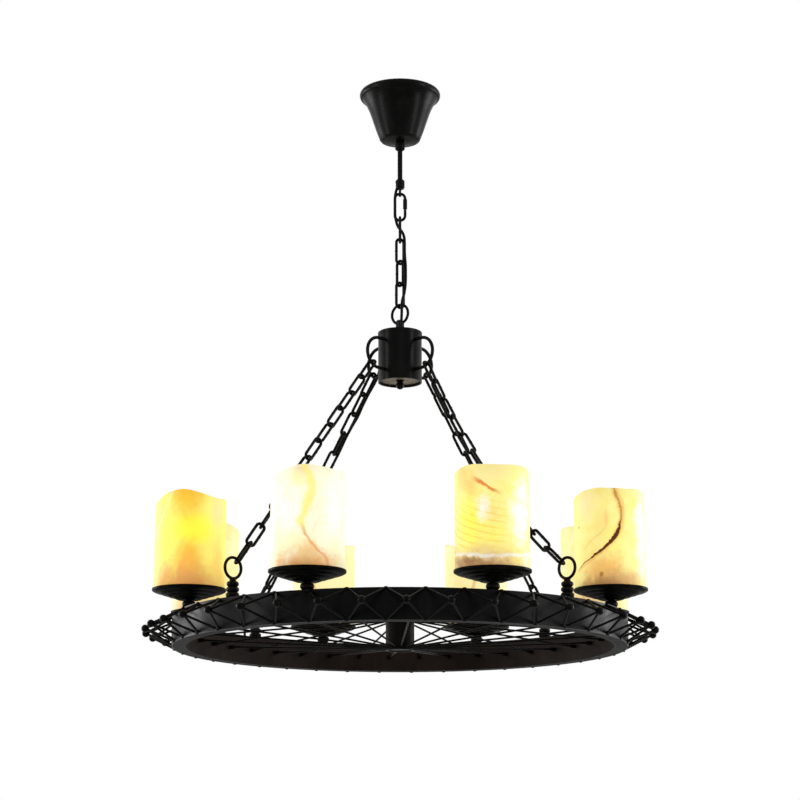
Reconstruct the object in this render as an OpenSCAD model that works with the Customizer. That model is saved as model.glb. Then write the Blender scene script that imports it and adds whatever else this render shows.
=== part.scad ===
// Ring chandelier with eight marble candle shades, hung from a ceiling canopy.
// Millimetres, +Z up, origin on the ceiling plane at the canopy's axis, front towards -Y.

/* [Canopy and stem] */
// Widest diameter of the canopy's rolled lip
canopy_d = 133; // [120:1:150]
// Height of the canopy
canopy_h = 88; // [80:1:100]
// Thickness of the canopy's sheet
canopy_wall = 1.6; // [1.2:0.1:2.5]
// Height of the rolled lip
lip_h = 12; // [9:0.5:14]
// Outer diameter of the stem tube
stem_d = 8; // [7.6:0.1:9]
// Length of stem that shows below the canopy nut
stem_show = 51; // [40:1:70]
// Diameter of the collar at the stem's lower end
collar_d = 15; // [14:0.5:18]
// Height of the stem collar
collar_h = 16; // [14:0.5:22]
// Distance between the ceiling bracket's two slots
bracket_slots = 76; // [70:1:80]
// Width of the ceiling bracket
bracket_w = 24; // [20:1:30]

/* [Chain] */
// Diameter of the chain's wire
wire_d = 4.6; // [4.2:0.1:4.7]
// Length of one link, outside
link_len = 46.45; // [43:0.05:49]
// Width of one link, outside
link_w = 17.4; // [17.2:0.1:19]
// Links in each side chain
side_links = 12; // [10:2:14]
// Length of the quick link, outside
quick_len = 50.2; // [47:0.2:57]
// Width of the quick link, outside
quick_w = 21.2; // [20.2:0.2:25]
// Outer diameter of the hub ring
hub_ring_d = 36; // [34:1:40]
// Diameter of the hub ring's wire
hub_ring_wire = 4.5; // [4:0.1:4.6]
// Room left where two links touch
hang_gap = 0.3; // [0.25:0.05:0.4]

/* [Hub] */
// Diameter of the hub
hub_d = 70; // [64:1:80]
// Height of the hub
hub_h = 83; // [78:1:95]
// Diameter of the bent rod of a hub loop
loop_wire = 5.4; // [4.4:0.1:5.6]
// Distance between the two arms of a hub loop
loop_span = 49; // [46:1:54]
// Straight length of a loop's arm outside the hub
loop_arm = 13; // [10:1:18]

/* [Ring] */
// Outer diameter of the ring's outer band
ring_d = 706; // [680:2:740]
// Width of the hollow ring, outside
ring_w = 22; // [20:1:24]
// Height of the ring
ring_h = 46; // [42:1:52]
// Thickness of the ring's sheet
ring_wall = 2; // [1.5:0.5:2.5]
// Number of balls round the ring
ball_count = 40; // [32:8:48]
// Diameter of a ball
ball_d = 12; // [11:0.5:14]
// Distance from the outer band to the balls' centres
ball_out = 41; // [36:1:48]
// Diameter of the lattice rods
lattice_rod = 3.6; // [3:0.1:3.8]
// Number of spokes, upper and lower together
spoke_count = 40; // [32:8:48]
// Diameter of a spoke
spoke_d = 3; // [2.5:0.1:3.4]
// Diameter of the centre spindle
spindle_d = 44.5; // [40:0.5:50]
// Outer diameter of an eye
eye_d = 35; // [33:1:38]
// Diameter of an eye's wire
eye_wire = 4.5; // [4:0.1:4.8]

/* [Lamps] */
// Number of lamps
lamp_count = 8; // [8:1:8]
// Outer diameter of a shade
shade_d = 107; // [100:1:110]
// Thickness of the marble
shade_wall = 9; // [7:0.5:10]
// Height of a shade to its mean rim
shade_h = 139; // [132:1:150]
// Outer diameter of a drip pan
pan_d = 111; // [110:1:118]
// Diameter of the flattened knob under a pan
knob_d = 20.4; // [20.2:0.1:22]
// Diameter of a lamp holder
holder_d = 27; // [24:0.5:30]
// Diameter of a bulb's glass
bulb_d = 35; // [30:1:37]
// Length of a bulb's glass
bulb_len = 72; // [64:1:76]

/* [Cables] */
// Diameter of the main cable
cable_d = 4.6; // [4:0.1:4.8]
// Diameter of the ring cable
ring_cable_d = 4.2; // [3.6:0.1:4.4]

/* [Hidden] */
$fn = 48;

// Colours, as the photo shows them
iron = [0.09, 0.09, 0.09];
iron_light = [0.16, 0.16, 0.16];
marble = [0.98, 0.88, 0.62];
cable_black = [0.07, 0.06, 0.06];

// Centre chain: turn of each link about Z, and of the hub ring. The top link is seen edge on.
center_rolls = [90, 24, -42, 24];
hub_ring_roll = -36;
center_links = len(center_rolls);

// Sizes of the small pieces
fit_gap = 0.3;
bracket_t = 2.5;
bracket_drop = 14;
bracket_half = 55;
bracket_seat = 26;
slot_w = 5.2;
slot_len = 11;
thread_d = 8.3;
nut_h = 5;
nut_d = 15;
canopy_nut_h = 13;
canopy_nut_d = 16;
stem_bore = cable_d + 1;
collar_seat = 4;
tab_t = 4;
tab_w = 11;
tab_hole = 3.3;
tab_drop = 7.8;

// Heights of the hanging line, from the ceiling down
z_nut_low = -canopy_h - canopy_nut_h;
z_collar_top = z_nut_low - stem_show;
z_collar_low = z_collar_top - collar_h;
z_tab_hole = z_collar_low - tab_drop;

// How far a bent wire drops away over half the thickness of the tab that it goes through
function fall(r, half) = r - sqrt(r * r - half * half);

// A stadium link's half width and length, both to the middle of its wire
function mid_w(w, d) = (w - d) / 2;
link_r = mid_w(link_w, wire_d);
link_mid = link_len - wire_d;
quick_r = mid_w(quick_w, wire_d);
quick_mid = quick_len - wire_d;
hub_ring_r = mid_w(hub_ring_d, hub_ring_wire);

z_quick = z_tab_hole - tab_hole + wire_d / 2 + fall(quick_r, tab_t / 2) + hang_gap;
wire_step = wire_d + hang_gap;
pitch = link_mid - wire_step;
z_link_1 = z_quick - quick_mid + wire_step;
function z_link(k) = z_link_1 - (k - 1) * pitch;
z_last_link_low = z_link(center_links) - link_mid;
z_hub_ring = z_last_link_low + (wire_d + hub_ring_wire) / 2 + hang_gap;
z_hub_ring_low = z_hub_ring - 2 * hub_ring_r;

// Hub: the ring passes through a tab on the nipple
nipple_tab_t = 6.4;
nipple_tab_w = 14;
nipple_flange_d = 22;
nipple_flange_h = 6;
nipple_hole = hub_ring_wire / 2 + fall(hub_ring_r, nipple_tab_t / 2) + 0.6;
nipple_rise = 8.5;
z_nipple_hole = z_hub_ring_low + hub_ring_wire / 2 + fall(hub_ring_r, nipple_tab_t / 2)
  + hang_gap - nipple_hole;
z_flange_top = z_nipple_hole - nipple_rise;
z_hub_top = z_flange_top - nipple_flange_h;
lid_h = 6;
lid_t = 2.5;
lid_lip = 0.6;
hub_wall = 2.5;
base_up = 4;
base_t = 2;
base_slip = 0.05;
tie_rod_d = 6;
finial_d = 13;
finial_collar_d = 12;
finial_collar_h = 3;
z_hub_low = z_hub_top - hub_h;
z_base_low = z_hub_low + base_up;
cable_hole_u = 6.0;
cable_hole_v = -5.0;

// Hub loops: a half circle joined to two straight arms
loop_r = loop_span / 2;
loop_x = hub_d / 2 + loop_arm;
z_loop_mid = z_hub_top - 42;
arm_inside = 6;

// Side chains run straight from a hub loop to an eye, so the chain sets how low the ring hangs
ring_r = ring_d / 2;
ring_mid_r = ring_r - ring_w / 2;
inner_r = ring_r - ring_w;
eye_r = mid_w(eye_d, eye_wire);
end_at_loop = (loop_wire + wire_d) / 2 + hang_gap;
end_at_eye = (eye_wire + wire_d) / 2 + hang_gap;
chain_span = side_links * pitch + wire_step - end_at_loop - end_at_eye;
slant = acos((ring_mid_r - loop_x) / (loop_r + chain_span + eye_r));
z_eye = z_loop_mid - (loop_r + chain_span + eye_r) * sin(slant);
side_turn = 90 - 90 / (side_links - 1);
chain_az = [45, 135, -135, -45];

// The front left chain's first links are seen half turned, so they keep to two turns
even_turn = 105;
odd_turn = 0;
front_pairs = side_links / 2;
front_turn = 77;
function front_roll(k) = k <= front_pairs
  ? (k % 2 == 0 ? even_turn : odd_turn)
  : (front_pairs % 2 == 0 ? even_turn : odd_turn) - (k - front_pairs) * front_turn;

// The front right chain's links touch, and the length that this leaves over makes it sag. Each link's
// direction differs from the next one's by the same angle, and the whole sag is found by halving.
slack_chain = 1;
front_chain = 4;
slack_gap = 0.05;
slack_pitch = link_mid - wire_d - slack_gap;
slack_start = loop_r - (loop_wire + wire_d) / 2 - slack_gap;
slack_end = link_mid + eye_r - (eye_wire + wire_d) / 2 - slack_gap;
slack_line = loop_r + chain_span + eye_r;
function off_line(sag, k) = sag * (1 - (2 * k + 1) / side_links);
function along_links(sag, k) = k < 0
  ? slack_start * [cos(off_line(sag, 0)), sin(off_line(sag, 0))]
  : along_links(sag, k - 1)
    + (k == side_links - 1 ? slack_end : slack_pitch) * [cos(off_line(sag, k)), sin(off_line(sag, k))];
function find_sag(low, high, tries) =
  let (mid = (low + high) / 2)
    tries == 0 ? mid
      : norm(along_links(mid, side_links - 1)) > slack_line ? find_sag(mid, high, tries - 1)
      : find_sag(low, mid, tries - 1);
sag = find_sag(0, 30, 20);
sag_end = along_links(sag, side_links - 1);
sag_turn = slant - atan2(sag_end.y, sag_end.x);

// Ring heights follow from the eyes
stack_h = 24;
stack_rings = [20, 19, 18];
stack_ball = 8;
eye_neck = 5;
z_ring_top = z_eye - eye_d / 2 - stack_h - 2;
z_ring_low = z_ring_top - ring_h;
shank_d = 8;
shank_in = 10;
ring_nut_d = 13;
plate_hole = shank_d + 0.4;

// Lattice
lattice_low = 2;
lattice_apart = 2.3;
rod_start = 5.2;
ball_turn = 1.3;

// Spindle and spokes
spindle_h = 53;
spindle_low = 3;
spindle_in = 1;
spoke_first = 3.3;
z_spoke_low = 4.5;
nipple_d = 6.5;
nipple_l = 9;
nipple_in = 1.5;

// Lamp stack, heights from the ring's top
lamp_az = [-22.5, 22.5, 67.5, 112.5, 157.5, -157.5, -112.5, -67.5];
knob_h = 10;
knob_up = 0.8;
pan_low = 11.5;
pan_h = 17;
pan_lip_h = 2.5;
pan_lip_t = 1.3;
pan_boss = 24;
pan_t = 1.7;
pan_floor = 3;
pan_floor_r = 16;
pan_steps = 4;
pan_swell = 0.9;
stem_up = 20;
stem_down = 10;
shade_seat = pan_low + pan_h - pan_lip_h + fit_gap;
holder_h = 50;
socket_d = 14.6;
socket_deep = 26;
lead_d = 3.4;
wiring_d = 5;
wiring_up = 9;

// Rim of each shade: mean height change, then height and turn of one, two and three waves
rims = [
  [ 0, 4.2,  86, 4.4,  59, 2.7, 359],
  [ 5, 1.5, 326, 3.0, 340, 2.9, 145],
  [ 6, 1.9, 312, 3.4, 248, 2.9,  21],
  [-2, 2.5, 310, 3.5,  20, 2.0,  90],
  [ 2, 1.5,  60, 4.5, 130, 1.5, 300],
  [-1, 3.0, 250, 3.0, 190, 2.0, 140],
  [ 1, 2.0, 340, 4.0, 280, 1.5,  70],
  [-1, 1.8,  90, 3.8, 148, 3.8, 144]
];
rim_sides = 48;

// Route of the main cable: stem bore, collar notch, down behind the quick link's left leg,
// through the top link, down the right of the next three, through the hub ring to the nipple
main_route = [
  [0, 0, -4], [0, 0, -40], [0, 0, -80], [0, 0, -120], [0, 0, -150], [0, 0, -156.5],
  [-1.5, 0, -159.8], [-3.8, 0, -163], [-5.1, 0, -167.5], [-6.6, 2.5, -171.5], [-7.7, 4.8, -176.6],
  [-8.1, 5.2, -182.8], [-8.1, 5.1, -195], [-8.1, 5.1, -207], [-7.7, 5.1, -214], [-6.4, 5, -220.8],
  [-5, 3.3, -226.8], [-3, 1, -232.4], [0, 0, -236.9], [3, -0.4, -241], [5.4, -1.2, -246],
  [6.9, -2, -252], [7.5, -2.4, -261], [7.5, -2.4, -273.2], [8, -2.1, -285.3], [8.9, -1.3, -295.4],
  [9.2, -0.4, -307.5], [9.2, -0.4, -317.7], [9, -1, -326.8], [8.2, -2.5, -336.9],
  [6.5, -4.8, -348.1], [3.9, -7.7, -358.2], [3, -8.4, -367.3], [2.8, -8.3, -378.2],
  [2.4, -7.8, -389.2], [1.9, -7.6, -400.2], [1.9, -7.6, -420.2]
];

// Route of the ring cable in a side chain's own frame: [along the chain, up from it, sideways]
weave_route = [
  [10, -5.5, -6.1], [30.3, -5.4, -4.8], [50.5, -5.8, -4.2], [70.7, -7, -4.2], [91, -6.1, -3.3],
  [111, -5.8, -2.6], [131, -6.7, -2.4], [146.5, -7.2, -2.2], [166.5, -6.6, -1.7], [187, -6.6, -1],
  [205, -6.6, -0.4], [222, -7.7, -0.1], [240.5, -6.9, 0.4], [257.5, -6.3, 0.9], [277.5, -6.4, 1.3],
  [295, -7.8, 1.9], [315, -7.4, 2.4], [335, -6.3, 2.9], [353.5, -7.3, 4.6], [373.5, -9.5, 7.7]
];
// The same cable where it leaves the hub, and where it drops to the ring: [out, sideways, height]
hub_route = [[24, 0, 0], [36, 0, 0], [43, -0.6, -1.5], [49, -2.8, -6], [54, -5.5, -13], [58.5, -6.2, -21.5]];
drop_route = [[303, 14, -345], [317, 20, -365.5], [329, 23, -384.5], [338, 24, -399.5]];
cable_chain = 2;

// Turn that carries local +X to an angle round the ring, counted from the front towards +X
function turn(az) = az - 90;

// A straight round bar between two points
module bar(p, q, d) {
  v = q - p;
  translate(p)
    rotate([0, acos(v.z / norm(v)), atan2(v.y, v.x)])
      cylinder(h = norm(v), d = d);
}

// Half a ring of wire, the upper half in the XZ plane
module half_ring(r, d) {
  rotate([90, 0, 0])
    rotate_extrude(angle = 180)
      translate([r, 0])
        circle(d = d);
}

// A link in the XZ plane that hangs from the middle of its top wire
module oval_link(r, mid, d) {
  translate([0, 0, -r])
    half_ring(r, d);
  translate([0, 0, r - mid])
    mirror([0, 0, 1])
      half_ring(r, d);
  for (s = [-1, 1])
    translate([s * r, 0, r - mid])
      cylinder(h = mid - 2 * r, d = d);
}

module full_ring(r, d) {
  rotate([90, 0, 0])
    rotate_extrude()
      translate([r, 0])
        circle(d = d);
}

module hex_nut(d, h, hole) {
  difference() {
    cylinder(h = h, d = d, $fn = 6);
    translate([0, 0, -1])
      cylinder(h = h + 2, d = hole);
  }
}

// Copies round the ring
module at_each(azimuths) {
  for (az = azimuths)
    rotate([0, 0, turn(az)])
      children();
}

module disc_ring(r_out, r_in, h) {
  difference() {
    cylinder(h = h, r = r_out, $fn = 96);
    translate([0, 0, -1])
      cylinder(h = h + 2, r = r_in, $fn = 96);
  }
}

// Points along a cubic curve
function bezier(a, b, c, d, n) = [
  for (i = [0:n])
    let (t = i / n, s = 1 - t)
      s * s * s * a + 3 * s * s * t * b + 3 * s * t * t * c + t * t * t * d
];

function arc(c, rx, ry, from, to, n) = [
  for (i = [0:n])
    let (a = from + (to - from) * i / n)
      [c.x + rx * cos(a), c.y + ry * sin(a)]
];

// A tube swept along a route, with one ring of points at each point of the route
function heading(route, i) =
  let (a = route[max(i - 1, 0)], b = route[min(i + 1, len(route) - 1)])
    (b - a) / norm(b - a);
function unit(v) = v / norm(v);

module swept_tube(route, d, side, sides) {
  last = len(route) - 1;
  points = [
    for (i = [0:last])
      let (t = heading(route, i), n = unit(cross(side, t)), b = cross(t, n))
        for (k = [0:sides - 1])
          route[i] + d / 2 * (n * cos(360 * k / sides) + b * sin(360 * k / sides))
  ];
  walls = [
    for (i = [0:last - 1], k = [0:sides - 1])
      let (m = (k + 1) % sides, a = i * sides + k, b = i * sides + m)
        each [[a, b + sides, b], [a, a + sides, b + sides]]
  ];
  ends = [
    [for (k = [0:sides - 1]) k],
    [for (k = [sides - 1:-1:0]) last * sides + k]
  ];
  polyhedron(points = points, faces = concat(walls, ends), convexity = 8);
}

module ceiling_bracket() {
  color(iron_light)
    difference() {
      union() {
        for (s = [-1, 1]) {
          translate([s > 0 ? bracket_seat : -bracket_half, -bracket_w / 2, -bracket_t])
            cube([bracket_half - bracket_seat, bracket_w, bracket_t]);
          translate([s > 0 ? bracket_seat : -bracket_seat - bracket_t, -bracket_w / 2, -bracket_drop])
            cube([bracket_t, bracket_w, bracket_drop]);
        }
        translate([-bracket_seat - bracket_t, -bracket_w / 2, -bracket_drop - bracket_t])
          cube([2 * (bracket_seat + bracket_t), bracket_w, bracket_t]);
      }
      for (s = [-1, 1]) {
        for (e = [-1, 1])
          translate([s * bracket_slots / 2 + e * (slot_len - slot_w) / 2, 0, -bracket_t - 1])
            cylinder(h = bracket_t + 2, d = slot_w);
        translate([s * bracket_slots / 2 - (slot_len - slot_w) / 2, -slot_w / 2, -bracket_t - 1])
          cube([slot_len - slot_w, slot_w, bracket_t + 2]);
      }
      translate([0, 0, -bracket_drop - bracket_t - 1])
        cylinder(h = bracket_t + 2, d = stem_d + 0.2);
      translate([earth_x, 0, -bracket_drop - bracket_t - 1])
        cylinder(h = bracket_t + 2, d = earth_d + 0.2);
    }
}
earth_x = -18;
earth_d = 4;

module earth_screw() {
  z = -bracket_drop - bracket_t;
  color("gold") {
    translate([earth_x, 0, z])
      cylinder(h = bracket_t + 3, d = earth_d);
    translate([earth_x, 0, z - 2.6])
      difference() {
        cylinder(h = 2.6, d = 8);
        translate([-5, -0.6, -1])
          cube([10, 1.2, 2]);
      }
  }
}

block_size = [14, 20, 11];
block_x = 10;
module terminal_block() {
  z = -bracket_drop - bracket_t - block_size.z;
  color("ivory")
    difference() {
      translate([block_x, -block_size.y / 2, z])
        cube(block_size);
      for (y = [-6, 0, 6])
        translate([block_x + block_size.x / 2, y, z - 1])
          cylinder(h = 7, d = 3.6);
      for (y = [-6, 0, 6])
        translate([block_x - 1, y, z + block_size.z / 2 + 1])
          rotate([0, 90, 0])
            cylinder(h = block_size.x + 2, d = 2.8);
    }
}

// The bell narrows from the lip to a rounded corner, then closes in a shallow cone
bell_corner_r = 34.5;
bell_corner_up = 9;
bell_flat_r = 28.8;
bell_flat_up = 2.2;
bell_nose_r = 12;
module canopy() {
  lip_r = canopy_d / 2;
  body_r = lip_r - 4.5;
  low_z = -canopy_h;
  corner = [bell_corner_r, low_z + bell_corner_up];
  flare = bezier([body_r, -lip_h], [body_r - 12, -lip_h - 13], [46, -50], corner, 14);
  flare_in = bezier([body_r - canopy_wall, -lip_h + 1], [body_r - 12 - canopy_wall, -lip_h - 13],
    [46 - canopy_wall, -50], corner - [canopy_wall, 0], 14);
  color(iron)
    rotate_extrude($fn = 96)
      polygon(concat(
        [[body_r - canopy_wall - 0.4, 0]],
        arc([body_r, -lip_h / 2], lip_r - body_r, lip_h / 2, 90, -90, 10),
        [for (i = [1:14]) flare[i]],
        [corner + [-1.1, -3.4], corner + [-3.2, -5.8], [bell_flat_r, low_z + bell_flat_up]],
        [[bell_nose_r, low_z], [thread_d / 2, low_z]],
        [[thread_d / 2, low_z + canopy_wall], [bell_nose_r, low_z + canopy_wall]],
        [[bell_flat_r - 0.5, low_z + bell_flat_up + canopy_wall]],
        [corner + [-3.9 - canopy_wall / 2, -5.8 + canopy_wall], corner + [-1.1 - canopy_wall, -3]],
        [for (i = [14:-1:0]) flare_in[i]]
      ));
}

module canopy_nut() {
  color(iron)
    translate([0, 0, z_nut_low])
      rotate_extrude()
        polygon([
          [thread_d / 2, 0], [canopy_nut_d / 2 - 2, 0], [canopy_nut_d / 2, 2],
          [canopy_nut_d / 2, canopy_nut_h - 2], [canopy_nut_d / 2 - 1.5, canopy_nut_h],
          [thread_d / 2, canopy_nut_h]
        ]);
}

z_stem_top = -bracket_drop + nut_h + 2;
module stem_tube() {
  color(iron)
    difference() {
      translate([0, 0, z_collar_top - collar_seat])
        cylinder(h = z_stem_top - z_collar_top + collar_seat, d = stem_d);
      translate([0, 0, z_collar_top - collar_seat - 1])
        cylinder(h = z_stem_top - z_collar_top + collar_seat + 2, d = stem_bore);
    }
}

module stem_lock_nuts() {
  color("silver")
    for (z = [-bracket_drop, -bracket_drop - bracket_t - nut_h])
      translate([0, 0, z])
        hex_nut(nut_d, nut_h, stem_d + 0.1);
}

// Collar with a seat for the stem, a bore and a side notch for the cable, and the hanging tab
module stem_collar() {
  notch_h = collar_h - collar_seat - 1;
  notch_floor = 2.5;
  color(iron)
    difference() {
      union() {
        translate([0, 0, z_collar_low])
          rotate_extrude()
            polygon([
              [0, 0], [collar_d / 2 - 1.6, 0], [collar_d / 2, 2.4], [collar_d / 2, collar_h - 2.4],
              [collar_d / 2 - 2, collar_h], [0, collar_h]
            ]);
        translate([-tab_t / 2, -tab_w / 2, z_tab_hole])
          cube([tab_t, tab_w, z_collar_low - z_tab_hole + 1]);
        translate([-tab_t / 2, 0, z_tab_hole])
          rotate([0, 90, 0])
            cylinder(h = tab_t, d = tab_w);
      }
      translate([0, 0, z_collar_top - collar_seat])
        cylinder(h = collar_seat + 1, d = stem_d + 0.1);
      translate([0, 0, z_collar_low + notch_h])
        cylinder(h = collar_h, d = stem_bore);
      translate([-collar_d, -stem_bore / 2, z_collar_low - 1])
        cube([collar_d - tab_t / 2, stem_bore, notch_h + 1]);
      translate([-tab_t / 2 - 0.1, -stem_bore / 2, z_collar_low + notch_floor])
        cube([tab_t / 2 + stem_bore / 2, stem_bore, notch_h - notch_floor + 0.1]);
      translate([-tab_t, 0, z_tab_hole])
        rotate([0, 90, 0])
          cylinder(h = 2 * tab_t, r = tab_hole);
    }
}

// The quick link's right leg is cut for the threaded sleeve, which screws down to open it
sleeve_d = 6.8;
sleeve_l = 16;
quick_cut = 6;
sleeve_up = 5;
z_cut = z_quick - quick_mid / 2 + sleeve_up;
module quick_link() {
  color(iron)
    difference() {
      translate([0, 0, z_quick])
        oval_link(quick_r, quick_mid, wire_d);
      translate([quick_r - wire_d, -wire_d, z_cut - quick_cut / 2])
        cube([2 * wire_d, 2 * wire_d, quick_cut]);
    }
}

module quick_link_sleeve() {
  color(iron)
    translate([quick_r, 0, z_cut - sleeve_l / 2])
      difference() {
        cylinder(h = sleeve_l, d = sleeve_d);
        translate([0, 0, -1])
          cylinder(h = sleeve_l + 2, d = wire_d + 0.16);
      }
}

module center_link(k) {
  color(iron)
    translate([0, 0, z_link(k)])
      rotate([0, 0, center_rolls[k - 1]])
        oval_link(link_r, link_mid, wire_d);
}

module hub_ring() {
  color(iron)
    translate([0, 0, z_hub_ring - hub_ring_r])
      rotate([0, 0, hub_ring_roll])
        full_ring(hub_ring_r, hub_ring_wire);
}

module hub_nipple() {
  color(iron)
    rotate([0, 0, hub_ring_roll])
      difference() {
        union() {
          translate([0, 0, z_hub_top])
            rotate_extrude()
              polygon([
                [0, 0], [nipple_flange_d / 2, 0], [nipple_flange_d / 2, nipple_flange_h - 1.5],
                [nipple_flange_d / 2 - 1.5, nipple_flange_h], [0, nipple_flange_h]
              ]);
          translate([-nipple_tab_t / 2, -nipple_tab_w / 2, z_flange_top - 1])
            cube([nipple_tab_t, nipple_tab_w, nipple_rise + 1]);
          translate([-nipple_tab_t / 2, 0, z_nipple_hole])
            rotate([0, 90, 0])
              cylinder(h = nipple_tab_t, d = nipple_tab_w);
          translate([0, 0, z_hub_top - lid_t - nut_h])
            cylinder(h = lid_t + nut_h + 1, d = nipple_thread_d);
        }
        translate([-nipple_tab_t, 0, z_nipple_hole])
          rotate([0, 90, 0])
            cylinder(h = 2 * nipple_tab_t, r = nipple_hole);
        translate([cable_hole_u, cable_hole_v, z_hub_top - 1])
          cylinder(h = nipple_flange_h + 2, d = cable_d + 0.6);
        translate([0, 0, z_hub_top - lid_t - nut_h - 1])
          cylinder(h = nut_h + 1, d = tie_rod_d + 0.1);
      }
}
nipple_thread_d = 9.6;

module hub_lid() {
  color(iron)
    difference() {
      translate([0, 0, z_hub_top - lid_h])
        rotate_extrude($fn = 96)
          polygon([
            [0, 0], [hub_d / 2 + lid_lip, 0], [hub_d / 2 + lid_lip, lid_h - 1],
            [hub_d / 2 + lid_lip - 1, lid_h], [0, lid_h]
          ]);
      translate([0, 0, z_hub_top - lid_h - 1])
        cylinder(h = lid_h - lid_t + 1, r = hub_d / 2 - hub_wall, $fn = 96);
      translate([0, 0, z_hub_top - lid_h])
        cylinder(h = lid_h + 1, d = nipple_thread_d + 0.1);
      rotate([0, 0, hub_ring_roll])
        translate([cable_hole_u, cable_hole_v, z_hub_top - lid_h])
          cylinder(h = lid_h + 1, d = cable_d + 0.6);
    }
}

module hub_shell() {
  color(iron)
    difference() {
      translate([0, 0, z_hub_low])
        disc_ring(hub_d / 2, hub_d / 2 - hub_wall, hub_h - lid_h);
      at_each(chain_az)
        for (s = [-1, 1])
          translate([hub_d / 2 - hub_wall - 4, 0, z_loop_mid + s * loop_r])
            rotate([0, 90, 0])
              cylinder(h = hub_wall + 8, d = loop_wire + 0.1);
      rotate([0, 0, turn(chain_az[cable_chain])])
        translate([hub_d / 2 - hub_wall - 4, 0, z_loop_mid])
          rotate([0, 90, 0])
            cylinder(h = hub_wall + 8, d = ring_cable_d + 0.6);
    }
}

module hub_base() {
  color(iron_light)
    translate([0, 0, z_base_low])
      disc_ring(hub_d / 2 - hub_wall - base_slip, tie_rod_d / 2 + base_slip, base_t);
}

module hub_tie_rod() {
  color("silver")
    translate([0, 0, z_base_low - 7])
      cylinder(h = z_hub_top - lid_t - z_base_low + 7, d = tie_rod_d);
}

module hub_finial() {
  z_ball = z_base_low - finial_collar_h - finial_d / 2 + 1;
  color(iron)
    difference() {
      union() {
        translate([0, 0, z_base_low - finial_collar_h])
          cylinder(h = finial_collar_h, d = finial_collar_d);
        translate([0, 0, z_ball])
          sphere(d = finial_d);
      }
      translate([0, 0, z_base_low - 7.2])
        cylinder(h = 8, d = tie_rod_d + 0.1);
    }
}

// Four bent rods, both arms through the shell
module hub_loops() {
  color(iron)
    at_each(chain_az) {
      translate([loop_x, 0, z_loop_mid])
        rotate([0, 90, 0])
          half_ring(loop_r, loop_wire);
      for (s = [-1, 1])
        translate([hub_d / 2 - arm_inside, 0, z_loop_mid + s * loop_r])
          rotate([0, 90, 0])
            cylinder(h = loop_arm + arm_inside, d = loop_wire);
    }
}

// A link of a side chain, from its top wire's place in the chain's plane, its slope and its turn
module chain_link(place, slope, roll) {
  translate([place.x, 0, place.y])
    rotate([0, slope - 90, 0])
      rotate([0, 0, roll])
        oval_link(link_r, link_mid, wire_d);
}

module taut_chain(rolls) {
  for (k = [0:side_links - 1])
    let (reach = loop_r + k * pitch - end_at_loop)
      chain_link([loop_x, z_loop_mid] + reach * [cos(slant), -sin(slant)], slant, rolls[k]);
}

module slack_links(rolls) {
  for (k = [0:side_links - 1])
    let (
      p = along_links(sag, k - 1),
      place = [p.x * cos(sag_turn) - p.y * sin(sag_turn), -p.x * sin(sag_turn) - p.y * cos(sag_turn)]
    )
      chain_link([loop_x, z_loop_mid] + place, sag_turn + off_line(sag, k), rolls[k]);
}

module side_chain(n) {
  even_rolls = [for (k = [0:side_links - 1]) 90 + k * side_turn];
  front_rolls = [for (k = [0:side_links - 1]) front_roll(k)];
  color(iron)
    rotate([0, 0, turn(chain_az[n - 1])])
      if (n == slack_chain)
        slack_links(even_rolls);
      else
        taut_chain(n == front_chain ? front_rolls : even_rolls);
}

// Turned stack, eye in the chain's own plane, and a shank through the top plate
module eye_bolts() {
  color(iron)
    at_each(chain_az)
      translate([ring_mid_r, 0, 0]) {
        translate([0, 0, z_ring_top])
          rotate_extrude()
            union() {
              for (i = [0:2]) {
                translate([stack_rings[i] / 2 - stack_ball / 2, (i + 0.5) * stack_ball])
                  circle(d = stack_ball);
                translate([0, i * stack_ball])
                  square([stack_rings[i] / 2 - stack_ball / 2, stack_ball]);
              }
              translate([0, 3 * stack_ball - 1])
                square([eye_neck, 5]);
            }
        translate([0, 0, z_eye])
          full_ring(eye_r, eye_wire);
        translate([0, 0, z_ring_top - shank_in])
          cylinder(h = shank_in + 1, d = shank_d);
      }
}

// Nuts inside the ring, under the top plate, for the eye bolts and the lamp stems
module ring_nuts() {
  color("silver")
    at_each(concat(chain_az, lamp_az))
      translate([ring_mid_r, 0, z_ring_top - ring_wall - nut_h])
        hex_nut(ring_nut_d, nut_h, shank_d + 0.1);
}

module ring_outer_band() {
  color(iron)
    translate([0, 0, z_ring_low])
      disc_ring(ring_r, ring_r - ring_wall, ring_h, $fn = 160);
}

module ring_inner_band() {
  color(iron)
    difference() {
      translate([0, 0, z_ring_low])
        disc_ring(inner_r + ring_wall, inner_r, ring_h);
      for (i = [0:spoke_count - 1])
        rotate([0, 0, turn(spoke_az(i))])
          translate([inner_r - 3, 0, z_ring_low + ring_h / 2])
            rotate([0, 90, 0])
              cylinder(h = ring_wall + 6, d = spoke_d + 0.4);
    }
}

module ring_top_plate() {
  color(iron)
    difference() {
      translate([0, 0, z_ring_top - ring_wall])
        disc_ring(ring_r - ring_wall, inner_r + ring_wall, ring_wall);
      at_each(concat(chain_az, lamp_az))
        translate([ring_mid_r, 0, z_ring_top - ring_wall - 1])
          cylinder(h = ring_wall + 2, d = plate_hole);
      rotate([0, 0, turn(chain_az[cable_chain]) + cable_step])
        translate([ring_mid_r, 0, z_ring_top - ring_wall - 1])
          cylinder(h = ring_wall + 2, d = ring_cable_d + 0.6);
    }
}
cable_step = 4;

module ring_bottom_plate() {
  color(iron)
    translate([0, 0, z_ring_low])
      disc_ring(ring_r - ring_wall, inner_r + ring_wall, ring_wall);
}

function round_ring(r, az, z) = [r * sin(az), -r * cos(az), z];
function ball_az(i) = ball_turn + i * 360 / ball_count;
z_ball_mid = z_ring_low + ring_h / 2;

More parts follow.
